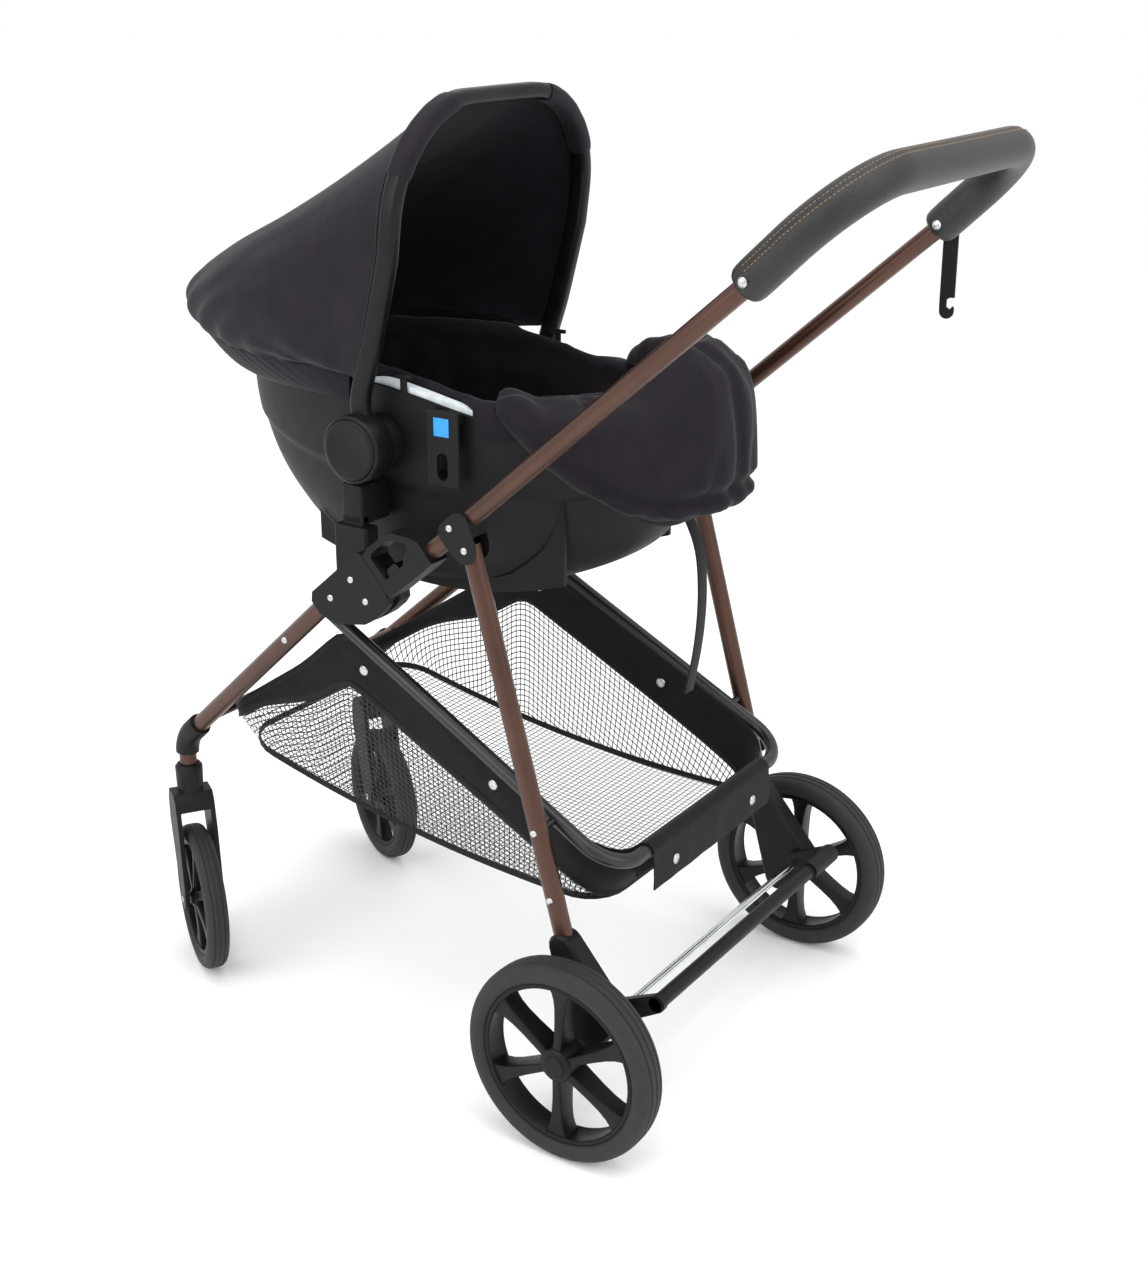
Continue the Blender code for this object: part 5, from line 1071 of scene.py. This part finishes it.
def closed_smooth(points, per_span):
    """A smooth closed line through points, as (a, b) pairs."""
    count, result = len(points), []
    for i in range(count):
        corners = [Vector(points[(i + k) % count]) for k in (-1, 0, 1, 2)]
        result += [tuple(spline(*corners, j / per_span)) for j in range(per_span)]
    return result


def foot_section(turn, end_round, rim):
    """The pocket's outline in one direction, as (out from the rim, height) pairs, and its middle."""
    full = math.cos(turn) ** 0.55
    pushed = smoothstep(0.10, 0.52, math.sin(turn)) * (1 - 0.9 * smoothstep(0.80, 0.91, math.sin(turn)))
    seam = SEAM_DEPTH * max(0.0, 1 - abs(math.sin(turn * 4.2)) * 5.0)
    crest = rim + (0.012 + 0.045 * full * (1 - 0.96 * pushed)) * (0.55 + 0.45 * end_round)
    bulge = (0.014 + 0.036 * full) * (0.5 + 0.5 * end_round) - seam + 0.0015
    hem = 0.742 - 0.082 * smoothstep(0.62, 0.97, full)
    tall, drop = crest - rim, crest - hem - 0.042
    round_part = [(-INSIDE_REACH, rim), (-INSIDE_REACH - 0.008, rim + 0.18 * tall),
                  (-INSIDE_REACH + 0.002, crest - 0.21 * tall), (-INSIDE_REACH * 0.4, crest - seam),
                  (0.006, crest - 0.07 * tall - seam), (bulge * 0.62, crest - 0.20 * drop),
                  (bulge * 0.92, hem + 0.042 + 0.50 * drop), (bulge, hem + 0.042), (bulge * 0.96, hem + 0.030),
                  (bulge * 0.84, hem + 0.020), (bulge * 0.95, hem + 0.010), (bulge * 0.86, hem + 0.001),
                  (bulge * 0.60, hem - 0.004), (bulge * 0.30, hem)]
    flat_part = [(0.0030, hem + 0.012), (0.0026, hem + 0.030), (0.0026, rim)]
    return closed_smooth(round_part, 4) + flat_part, Vector((0.0065, (rim + crest) / 2 - 0.004))


bm = bmesh.new()
rings = []
for i in range(COLUMNS + 1):
    turn = -SPAN + 2 * SPAN * i / COLUMNS
    along = math.cos(turn)
    end_round = math.sin(math.pi * (i / COLUMNS)) ** 0.22 if 0 < i < COLUMNS else 0.0
    section, middle = foot_section(turn, end_round, rim_z(WIDEST_Y + along * foot_reach) + RIM_LIFT)
    share = min(1.0, min(i, COLUMNS - i) / END_COLUMNS)
    swell = 0.20 + 0.80 * math.sqrt(1 - (1 - share) ** 2)
    section = [middle + (Vector(p) - middle) * swell for p in section]
    rings.append([bm.verts.new((squared(turn) * (HALF_WIDTH + out), WIDEST_Y + along * (foot_reach + out), z))
                  for out, z in section])
skin(bm, rings)
wrinkle(bm, 0.050, 0.0034, (1.3, 1.3, 0.55), 11.0)
apron = piece("foot_cover", bm, charcoal_cloth, "car_seat", "charcoal_fabric", "foot_apron", smooth=70)

# %% [markdown]
# The harness is flat webbing on the insert: two shoulder straps, two hip straps and one from between
# the legs, all to the buckle. Each strap is a thin rounded section swept over the padding.

# %% Harness
WEB = rounded_box(0.0125, 0.0009, 0.0008, 3)


def above_insert(y, above):
    return floor_z(y) + INSERT_OUT + INSERT_THICK + above


bm = bmesh.new()
for side, _ in SIDES:
    shoulder = [(side * (0.034 - 0.024 * i / 6), -0.156 + 0.0185 * i,
                 above_insert(-0.156 + 0.0185 * i, 0.0082 + 0.0088 * i / 6)) for i in range(7)]
    tube(bm, smooth_path(shoulder, 4), WEB)
    hip = [(side * (0.010 + 0.032 * t), -0.052 + 0.020 * t * t, above_insert(-0.052, 0.014 - 0.006 * t))
           for t in (0.0, 0.35, 0.7, 1.0)]
    tube(bm, smooth_path(hip, 4), WEB, (0, 1, 0))
crotch = [(0, y, above_insert(y, 0.0050 + 0.0096 * (1 - i / 4)))
          for i, y in enumerate((-0.050, -0.022, 0.006, 0.034, 0.055))]
tube(bm, smooth_path(crotch, 4), WEB)
piece("harness_webbing", bm, strap_web, "car_seat", "webbing", "harness")

# %% [markdown]
# ## Carry bow and hubs
# The bow is one moulding with a round housing at each end: a rounded box swept up one side, over the
# top and down again, and a turned housing. A button fills each housing.

# %% Bow
BOW_X, BOW_TOP, BOW_BEND = 0.1770, 1.0725, 0.118
BOW_WIDE, BOW_THICK = 0.0225, 0.0170
BOW_KNOTS = [(BOW_X, HUB.y, HUB.z + 0.028), (BOW_X, -0.0920, 0.770), (BOW_X, -0.0740, 0.826),
             (BOW_X, -0.0495, 0.917)]
BOW_CORNER = Vector((BOW_X, -0.0290, BOW_TOP))
HUB_R, BUTTON_R = 0.0375, 0.0335
HOUSING = [(0.1697, 0.0086), (0.1697, 0.0350), (0.1704, 0.0368), (0.1722, HUB_R), (0.1975, HUB_R),
           (0.1992, 0.0370), (0.2002, 0.0358), (0.2005, 0.0350), (0.2005, BUTTON_R + 0.0006),
           (0.1890, BUTTON_R + 0.0006), (0.1890, 0.0086)]


def bow_side(per_span, bend_steps):
    """One side of the bow's middle line, from the hub up to the start of its top bar."""
    line = smooth_path(BOW_KNOTS, per_span)
    return line + bend(BOW_CORNER, line[-1], (0, BOW_CORNER.y - 0.006, BOW_CORNER.z), BOW_BEND, bend_steps)


bow_near = bow_side(10, 28)
middle = Vector((0, bow_near[-1].y - 0.002, BOW_TOP))
bow_near.append(bow_near[-1].lerp(middle, 0.5))
bow_path = both_sides(bow_near, [middle])
bm = bmesh.new()
tube(bm, bow_path, rounded_box(BOW_WIDE / 2, BOW_THICK / 2, 0.0068, 6), (0, 1, 0))
for side, _ in SIDES:
    turned(bm, [(side * a, r) for a, r in HOUSING], HUB, steps=96)
piece("bow_moulding", bm, moulded_bow, "carry_bow", "black_plastic", "carry_handle")

# %% [markdown]
# A hub button is a shallow dish with a rounded rim. Its face is left plain.

# %% Hub buttons
BUTTON = [(0.1938, 0.0), (0.1938, BUTTON_R), (0.2006, BUTTON_R), (0.2022, 0.0328), (0.2031, 0.0314),
          (0.2035, 0.0296), (0.2035, 0.0285), (0.2031, 0.0279), (0.2031, 0.0)]
for side, where in SIDES:
    bm = bmesh.new()
    turned(bm, [(side * a, r) for a, r in BUTTON], HUB, steps=96)
    piece(f"hub_button_face_{where}", bm, shell_moulding, f"hub_button_{where}", "black_plastic",
          f"hub_button_{where}")

# %% [markdown]
# Cloth sleeves hold the hood to the bow's two top corners. They follow the bow's own path, a cloth's
# thickness larger, with a slight pucker.

# %% Corner sleeves
SLEEVE_FROM_X, SLEEVE_FROM_Z, SLEEVE_CLOTH = 0.080, 0.996, 0.0015
for side, where in SIDES:
    run = [p for p in bow_path if p.x * side > SLEEVE_FROM_X and p.z > SLEEVE_FROM_Z]
    if side < 0:
        run = list(reversed(run))
    section = rounded_box(BOW_WIDE / 2 + SLEEVE_CLOTH, BOW_THICK / 2 + SLEEVE_CLOTH, 0.0075, 6)
    bm = bmesh.new()
    rings = []
    for k, (point, across, up) in enumerate(frames_along(run, Vector((0, 1, 0)))):
        lip = 1 - 0.05 * (k in (0, len(run) - 1))
        puff = lip * (1 + 0.035 * noise.noise(point * 60) + 0.02 * abs(math.sin(k * 0.9)))
        rings.append([bm.verts.new(point + across * a * puff + up * b * puff) for a, b in section])
    skin(bm, rings)
    piece(f"corner_sleeve_{where}", bm, hood_cloth, "carry_bow", "charcoal_fabric",
                         f"canopy_sleeve_{where}", smooth=70)

# %% [markdown]
# ## Hood
# A sheet of cloth is a grid of points given by a rule, thickened to both sides so that it has a real
# edge.


# %% Cloth helpers
def cloth(bm, grid, thickness):
    """A closed sheet of cloth from a grid of points."""
    rows, columns = len(grid), len(grid[0])
    skins = []
    for face in (0.5, -0.5):
        layer = []
        for j, row in enumerate(grid):
            line = []
            for i, point in enumerate(row):
                along = row[min(i + 1, columns - 1)] - row[max(i - 1, 0)]
                down = grid[min(j + 1, rows - 1)][i] - grid[max(j - 1, 0)][i]
                normal = down.cross(along)
                normal = normal.normalized() if normal.length > 1e-12 else Vector((0, 0, 1))
                line.append(bm.verts.new(point + normal * thickness * face))
            layer.append(line)
        for low, high in zip(layer, layer[1:]):
            for i in range(columns - 1):
                bm.faces.new((low[i], low[i + 1], high[i + 1], high[i]))
        skins.append(layer)
    front, back = skins
    border = [(0, i) for i in range(columns)] + [(j, columns - 1) for j in range(1, rows)]
    border += [(rows - 1, i) for i in range(columns - 2, -1, -1)] + [(j, 0) for j in range(rows - 2, 0, -1)]
    for (a, b), (c, d) in zip(border, border[1:] + border[:1]):
        bm.faces.new((front[a][b], front[c][d], back[c][d], back[a][b]))


# %% [markdown]
# One panel runs from the bow back over the head end. It sags behind the bow's top bar and fills out
# over the nose, and its elastic hem gathers it and draws it in over the shell's edge. Each line from
# bow to hem is one smooth curve with four control points, and the gathers are waves along the hem.

# %% Hood panel
HEM_Z, NOSE_OUT, NOSE_UP, BROW_SAG = 0.787, 0.075, 0.055, 0.060
GATHERS, GATHER_DEEP, HOOD_ROWS, CLOTH_THICK = 17, 0.0042, 64, 0.0011
coarse = bow_side(2, 7)
top = Vector((0, coarse[-1].y - 0.002, coarse[-1].z))
arch = [p for p in both_sides(coarse, [top]) if p.z > HEM_Z + 0.004]
share = (arch[0].z - HEM_Z) / (arch[1].z - arch[0].z)
first = arch[0] + (arch[0] - arch[1]) * share
fine_arch = smooth_path([first] + arch + [first * Vector((-1, 1, 1))], 12)


def hem_place(t):
    """The elastic hem, from the near side round the head end to the far side."""
    across, out = math.cos(math.pi * t), max(math.sin(math.pi * t), 0.0)
    x = math.copysign(0.1560 * abs(across) ** 0.83, across)
    return Vector((x, -0.125 - 0.320 * out ** 0.83, HEM_Z + 0.026 * out ** 3))


def hood_point(i, v):
    """A point of the hood: i counts along the bow, v runs from the bow to the hem."""
    last = len(fine_arch) - 1
    t = i / last
    across, crown = math.cos(math.pi * t), math.sin(math.pi * t)
    forward = (fine_arch[min(i + 1, last)] - fine_arch[max(i - 1, 0)]).normalized()
    lean = math.sqrt(1 - forward.y ** 2)
    start = fine_arch[i] - Vector((0, (BOW_WIDE / 2 + 0.0002) / lean, 0))
    hem = hem_place(t)
    nose = hem + Vector((across, -crown, 0)) * NOSE_OUT * crown + Vector((0, 0, NOSE_UP * crown))
    brow = start.lerp(nose, 0.45) - Vector((0, 0, BROW_SAG * crown ** 2))
    w = 1 - v
    point = start * w ** 3 + brow * (3 * w * w * v) + nose * (3 * w * v * v) + hem * v ** 3
    outward = Vector((across, -crown * 0.8, 0.35 * crown))
    folds = math.sin(2 * math.pi * GATHERS * t + 1.3 * math.sin(9 * t))
    gather = GATHER_DEEP * smoothstep(0.35, 1.0, v) * folds
    gather *= 0.35 + 0.65 * crown
    slack = 0.0060 * noise.noise(Vector((t * 6.5, v * 2.6, 0.7))) * math.sin(math.pi * min(v * 1.1, 1.0))
    crease = 0.0024 * noise.noise(Vector((t * 26, v * 5.5, 4.1))) * math.sin(math.pi * v)
    near_leg = (1 - crown) ** 3 * smoothstep(0.55, 1.0, v) * 0.004 * math.sin(26 * v)
    return point + outward * (gather + slack + crease + near_leg)


bm = bmesh.new()
cloth(bm, [[hood_point(i, j / HOOD_ROWS) for i in range(len(fine_arch))] for j in range(HOOD_ROWS + 1)],
      CLOTH_THICK)
hood = piece("hood_panel", bm, hood_cloth, None, "charcoal_fabric", "canopy", smooth=80)

# %% [markdown]
# The hood's front edge is bound with a thin cord of cloth. Below its hem a closing strip runs down to
# the shell, so that no gap shows between them.

# %% Bound front edge and closing strip
STRIP_TURNS, STRIP_ROWS, STRIP_PUCKERS = 160, 10, 40
bm = bmesh.new()
tube(bm, [hood_point(i, 0.010) for i in range(len(fine_arch))], disc(0.0026, 10), (0, 1, 0))
hood_edge = piece("hood_binding", bm, band_cloth, "carry_bow", "charcoal_fabric", smooth=70)

bm = bmesh.new()
grid = []
for j in range(-1, STRIP_ROWS + 1):
    share, row = max(j, 0) / STRIP_ROWS, []
    for i in range(STRIP_TURNS + 1):
        t = i / STRIP_TURNS
        across, out = math.cos(math.pi * t), math.sin(math.pi * t)
        turn = math.copysign(math.asin((abs(across) ** 0.83 * 0.979) ** (1 / CORNER_POWER)), across)
        low = tub_point(turn, 1.0, 0.0, -0.0062) - Vector((0, 0, 0.020))
        point = hem_place(t).lerp(low, share)
        point.z -= 0.010 * math.sin(math.pi * share) * out
        point.z += 0.0016 * math.sin(2 * math.pi * STRIP_PUCKERS * t) * (1 - share)
        if j < 0:
            point += Vector((-0.004 * across, 0.010 * out, 0.012))
        row.append(point)
    grid.append(row)
cloth(bm, grid, CLOTH_THICK)
skirt = piece("hood_closing_strip", bm, hood_cloth, "car_seat", "charcoal_fabric", smooth=80)
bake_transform(hood)

# %% [markdown]
# ## Basket
# A net bag hangs from the hoop by bands of cloth with snap fasteners. Its wall is one rule: a rounded
# outline seen from above, a height that follows the hoop and the cross bar, and a sagging floor. The
# outline is cut into equal steps, so that the net's cells come out even.

# %% Basket outline
CELL = 0.0072
BAG_FRONT, BAG_REAR, BAG_CORNER = CROSS_BAR, hoop_corner, 0.049
FRONT_Y, REAR_Y = BAG_FRONT.y + 0.012, BAG_REAR.y - HOOP_R - 0.003
MIDDLE_Y, HALF_LONG = (FRONT_Y + REAR_Y) / 2, (REAR_Y - FRONT_Y) / 2
BAG_NARROWS = 0.075
BAG_RIM = [(BAG_FRONT.y, BAG_FRONT.z), (BASKET_PIVOT.y - 0.045, BASKET_PIVOT.z - 0.075),
           (BASKET_PIVOT.y + 0.02, BASKET_PIVOT.z - 0.018), (BAG_REAR.y, BAG_REAR.z)]


def bag_half_width(y):
    """Half the bag's width at a place along it, with round corners in plan."""
    t = (y - FRONT_Y) / (REAR_Y - FRONT_Y)
    wide = 0.1795 + (0.1930 - 0.1795) * t - HOOP_R - 0.0025
    pull = max(BAG_CORNER - (y - FRONT_Y), 0.0, BAG_CORNER - (REAR_Y - y))
    return wide - BAG_CORNER + math.sqrt(max(BAG_CORNER ** 2 - pull ** 2, 0.0))


def rim_of_bag(y):
    """Height of the bag's upper edge: it follows the hoop, then drops to the cross bar."""
    return eased(BAG_RIM, y, (-0.015, -0.007, 0, 0.007, 0.015)) - 0.004


def bag_floor(y):
    t = (y - FRONT_Y) / (REAR_Y - FRONT_Y)
    return 0.318 + (0.245 - 0.318) * t - 0.022 * (1 - ((y - MIDDLE_Y) / HALF_LONG) ** 2)


def bag_side(u, w, out=0.0):
    """A point of the bag's wall: u goes round from the middle of the front, w runs down it."""
    y, x = bag_outline[int(round(u * (len(bag_outline) - 1)))]
    scale = 1 - BAG_NARROWS * w ** 2.2
    inward_y = MIDDLE_Y + (y - MIDDLE_Y) * scale
    top, low = rim_of_bag(inward_y), bag_floor(inward_y)
    direction = Vector((x, (y - MIDDLE_Y) * 0.6, 0)).normalized()
    return Vector((x * scale, inward_y, top + (low - top) * w)) + direction * out


ys = [MIDDLE_Y - HALF_LONG * math.cos(math.pi * i / 60) for i in range(61)]
near_line = [(y, bag_half_width(y)) for y in ys]
front_line = [(FRONT_Y, near_line[0][1] * i / 20) for i in range(20)]
rear_line = [(REAR_Y, near_line[-1][1] * (1 - i / 20)) for i in range(1, 21)]
half_loop = front_line + near_line + rear_line
dense = []
for (y0, x0), (y1, x1) in zip(half_loop, half_loop[1:]):
    parts = max(1, int(math.hypot(y1 - y0, x1 - x0) / 0.003))
    dense += [(y0 + (y1 - y0) * k / parts, x0 + (x1 - x0) * k / parts) for k in range(parts)]
dense.append(half_loop[-1])
lengths = [0.0]
for (y0, x0), (y1, x1) in zip(dense, dense[1:]):
    lengths.append(lengths[-1] + math.hypot(y1 - y0, x1 - x0))
cells = int(round(lengths[-1] / CELL))
half_even = [tuple(float(np.interp(lengths[-1] * i / cells, lengths, values)) for values in zip(*dense))
             for i in range(cells + 1)]
bag_outline = half_even + [(y, -x) for y, x in reversed(half_even[:-1])]
LOOP = len(bag_outline) - 1
print("half the bag's edge is", round(lengths[-1], 3), "m in", cells, "cells")

# %% [markdown]
# The upper part of the wall is a band of polyester cloth, narrow in front and wide beside the hoop.


# %% Cloth bands
BAND_ROWS, BAND_THICK = 8, 0.0014


def wall_height(i):
    y, _ = bag_outline[i]
    return rim_of_bag(y) - bag_floor(y)


def band_share(i):
    """How far down the wall the cloth band reaches."""
    y, _ = bag_outline[i]
    side_band = 0.012 + 0.046 * smoothstep(FRONT_Y + 0.03, BASKET_PIVOT.y + 0.03, y)
    return min(0.90, side_band / wall_height(i))


bm = bmesh.new()
grid = []
for j in range(BAND_ROWS + 1):
    waves = [0.0016 * noise.noise(Vector((i * 0.09, j * 0.35, 2.0))) for i in range(LOOP + 1)]
    grid.append([bag_side(i / LOOP, band_share(i) * j / BAND_ROWS, 0.0010 + wave)
                 for i, wave in enumerate(waves)])
cloth(bm, grid, BAND_THICK)
band = piece("basket_band", bm, band_cloth, None, "basket_net", "basket_bag", smooth=80)

# %% [markdown]
# The net is a knitted mesh. Real cells are finer than a render shows, so they are drawn at 7.2 mm. An
# image with holes would be quick, but a model needs real gaps: each cell is a quad, inset by half a
# cord and then taken out, which leaves flat cords that all join.


# %% Net
CORD_HALF, FLOOR_SCALE = 0.0010, 1 - BAG_NARROWS


def net(bm, quads):
    """Leaves half a cord round each cell of a sheet of quads."""
    made = [bm.faces.new(q) for q in quads]
    bm.normal_update()
    bmesh.ops.inset_individual(bm, faces=made, thickness=CORD_HALF, depth=0)
    bmesh.ops.delete(bm, geom=made, context="FACES_ONLY")


def shared(make):
    """Makes each numbered corner once, so that neighbouring cells share it."""
    verts = {}

    def at(a, b):
        if (a, b) not in verts:
            verts[(a, b)] = bm.verts.new(make(a, b))
        return verts[(a, b)]
    return at


def inside_floor(a, b):
    back = MIDDLE_Y + (FRONT_Y + b * CELL - MIDDLE_Y) / FLOOR_SCALE
    return FRONT_Y < back < REAR_Y and abs(a * CELL) < bag_half_width(back) * FLOOR_SCALE + 0.001


bm = bmesh.new()
wall = shared(lambda i, j: bag_side(i / LOOP, min(1.0, band_share(i) + j * CELL / max(wall_height(i), 0.02))))
quads = []
for i in range(LOOP):
    for j in range(int(wall_height(i) * (1 - band_share(i)) / CELL) + 1):
        quad = [wall(i, j), wall(i + 1, j), wall(i + 1, j + 1), wall(i, j + 1)]
        if (quad[0].co - quad[3].co).length > 0.0015 and (quad[1].co - quad[2].co).length > 0.0015:
            quads.append(quad)
net(bm, quads)

ground = shared(lambda a, b: (a * CELL, FRONT_Y + b * CELL, bag_floor(FRONT_Y + b * CELL) + 0.0004))
squares = [[(a, b), (a + 1, b), (a + 1, b + 1), (a, b + 1)] for a in range(-28, 28) for b in range(90)]
net(bm, [[ground(*c) for c in square] for square in squares if all(inside_floor(*c) for c in square)])
bag_net = piece("basket_net_cords", bm, net_cord, None, "basket_net", smooth=80)

# %% [markdown]
# Three flat tapes bind the bag: one on its rim, one where band and net meet and one round its floor.

# %% Binding tapes
TAPE = rounded_box(0.0040, 0.0009, 0.0007, 2)
bm = bmesh.new()
for line in ([bag_side(i / LOOP, 1.0) + Vector((0, 0, 0.001)) for i in range(0, LOOP + 1, 2)],
             [bag_side(i / LOOP, band_share(i), 0.0016) for i in range(0, LOOP + 1, 2)],
             [bag_side(i / LOOP, 0.0, 0.0016) for i in range(0, LOOP + 1, 2)]):
    tube(bm, line, TAPE, (0, 0, 1))
tapes = piece("basket_bindings", bm, strap_web, None, "basket_net", smooth=80)

# %% [markdown]
# Two snaps on each side close the band over the hoop. A snap has a cap on both faces of the cloth.

# %% Snap fasteners
SNAP_CAP = [(0.0, 0.0), (0.0, 0.0062), (0.0009, 0.0060), (0.0016, 0.0046), (0.0019, 0.0)]
SNAP_GRIP = 0.0024


def snap(bm, i, w):
    """A snap's two round caps, on both faces of the band."""
    place = bag_side(i / LOOP, w, 0.0016)
    ahead = bag_side(min(i + 1, LOOP) / LOOP, w) - bag_side(max(i - 1, 0) / LOOP, w)
    down = bag_side(i / LOOP, w + 0.02) - bag_side(i / LOOP, w)
    out = ahead.cross(down).normalized()
    if out.dot(Vector((place.x, place.y - MIDDLE_Y, 0))) < 0:
        out = -out
    for face in (1, -1):
        turned(bm, SNAP_CAP, place - out * (SNAP_GRIP if face < 0 else 0.0), out * face, 24)


bm = bmesh.new()
for y in (-0.105, 0.075):
    on_the_side = [k for k in range(LOOP // 2) if bag_outline[k][1] > 0.15]
    i = min(on_the_side, key=lambda k: abs(bag_outline[k][0] - y))
    for index in (i, LOOP - i):
        snap(bm, index, band_share(index) * 0.50)
snaps = piece("basket_snaps", bm, plated_steel, None, "steel", smooth=60)
for part in (band, bag_net, tapes, snaps):
    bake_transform(part)

# %% [markdown]
# A flap of the same cloth is folded over the hoop's rear bar and snapped on its outer side. Its
# profile goes up, round the tube and down again.

# %% Rear flap
FLAP_WIDE, FLAP_THICK, FLAP_STEPS = 0.264, 0.0016, 60
bar_y, bar_z, wrap = hoop_corner.y, hoop_corner.z, HOOP_R + 0.0014
profile = [(-wrap - 0.0015, -0.034), (-wrap - 0.0010, -0.018), (-wrap, -0.004)]
profile += [(-wrap * math.cos(a), wrap * math.sin(a)) for a in [math.pi * k / 12 for k in range(13)]]
profile += [(wrap + 0.0004, -0.006), (wrap + 0.0016, -0.018), (wrap + 0.0022, -0.032),
            (wrap + 0.0014, -0.044)]
grid = []
for y, z in profile:
    row = []
    for i in range(FLAP_STEPS + 1):
        x = -FLAP_WIDE / 2 + FLAP_WIDE * i / FLAP_STEPS
        wave = 0.0010 * noise.noise(Vector((x * 40, z * 40, 1.5))) * smoothstep(0.0, 0.02, -z)
        row.append(Vector((x, bar_y + y + wave, bar_z + z)))
    grid.append(row)
bm = bmesh.new()
cloth(bm, grid, FLAP_THICK)
flap = piece("basket_flap", bm, band_cloth, "basket", "basket_net", smooth=80)
bm = bmesh.new()
for x in (-0.088, 0.088):
    turned(bm, SNAP_CAP, (x, bar_y + wrap + 0.0030, bar_z - 0.024), (0, 1, 0), 24)
flap_snaps = piece("flap_snaps", bm, plated_steel, "basket", "steel", smooth=60)

# %% [markdown]
# ## Rivets
# Domed zinc-plated heads hold the side plates, the leg brackets and the leg fittings. They come in
# mirrored pairs, so each place is given once.

# %% Rivet heads
DOME = [(-0.0006, 0.0), (-0.0006, 0.0040), (0.0004, 0.0040), (0.0012, 0.0032), (0.0017, 0.0018),
        (0.0019, 0.0)]


def heads(name, body, x, places):
    """Rivet heads that stand x from the middle on both sides of the frame."""
    bm = bmesh.new()
    for y, z in places:
        for side, _ in SIDES:
            turned(bm, DOME, (side * x, y, z), (side, 0, 0), 24)
    piece(name, bm, plated_steel, body, "steel", smooth=50)


heads("plate_rivets", "front_frame", HOUSING_FACE_X,
      [(-0.0663, 0.5833), (-0.0957, 0.5572), (-0.0467, 0.5622)])
bracket_x = float(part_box("leg_bracket_near")[1][0])
heads("bracket_rivets", "handle", bracket_x, [tuple(p.yz) for p in (on_handle(0.1585, 0.004), LEG_PIVOT)])
front = LEG_TOP + leg_down * 0.168
heads("front_leg_rivets", "front_frame", front.x + LEG_R, [tuple(front.yz)])
heads("rear_leg_rivets", "rear_frame", LEG_X + LEG_R,
      [tuple(on_rear_leg(along).yz) for along in (0.3088, 0.385)])

# %% [markdown]
# ## Adjuster strap
# The free end of the harness webbing comes out at the foot end and hangs under the foot cover. It is
# limp, so it falls in one easy curve to its cut end. Its length is measured along that curve.

# %% Hanging strap
STRAP = [(-0.018, 0.1987, 0.6400), (-0.020, 0.2110, 0.612), (-0.021, 0.2170, 0.586), (-0.022, 0.2190, 0.550),
         (-0.022, 0.2180, 0.514), (-0.021, 0.2145, 0.478), (-0.020, 0.2090, 0.445), (-0.019, 0.2060, 0.428)]
strap_line = smooth_path(STRAP, 6)
bm = bmesh.new()
tube(bm, strap_line, rounded_box(0.0095, 0.0009, 0.0007, 3), (1, 0, 0))
strap = piece("hanging_strap", bm, strap_web, "car_seat", "webbing", "adjuster_strap")
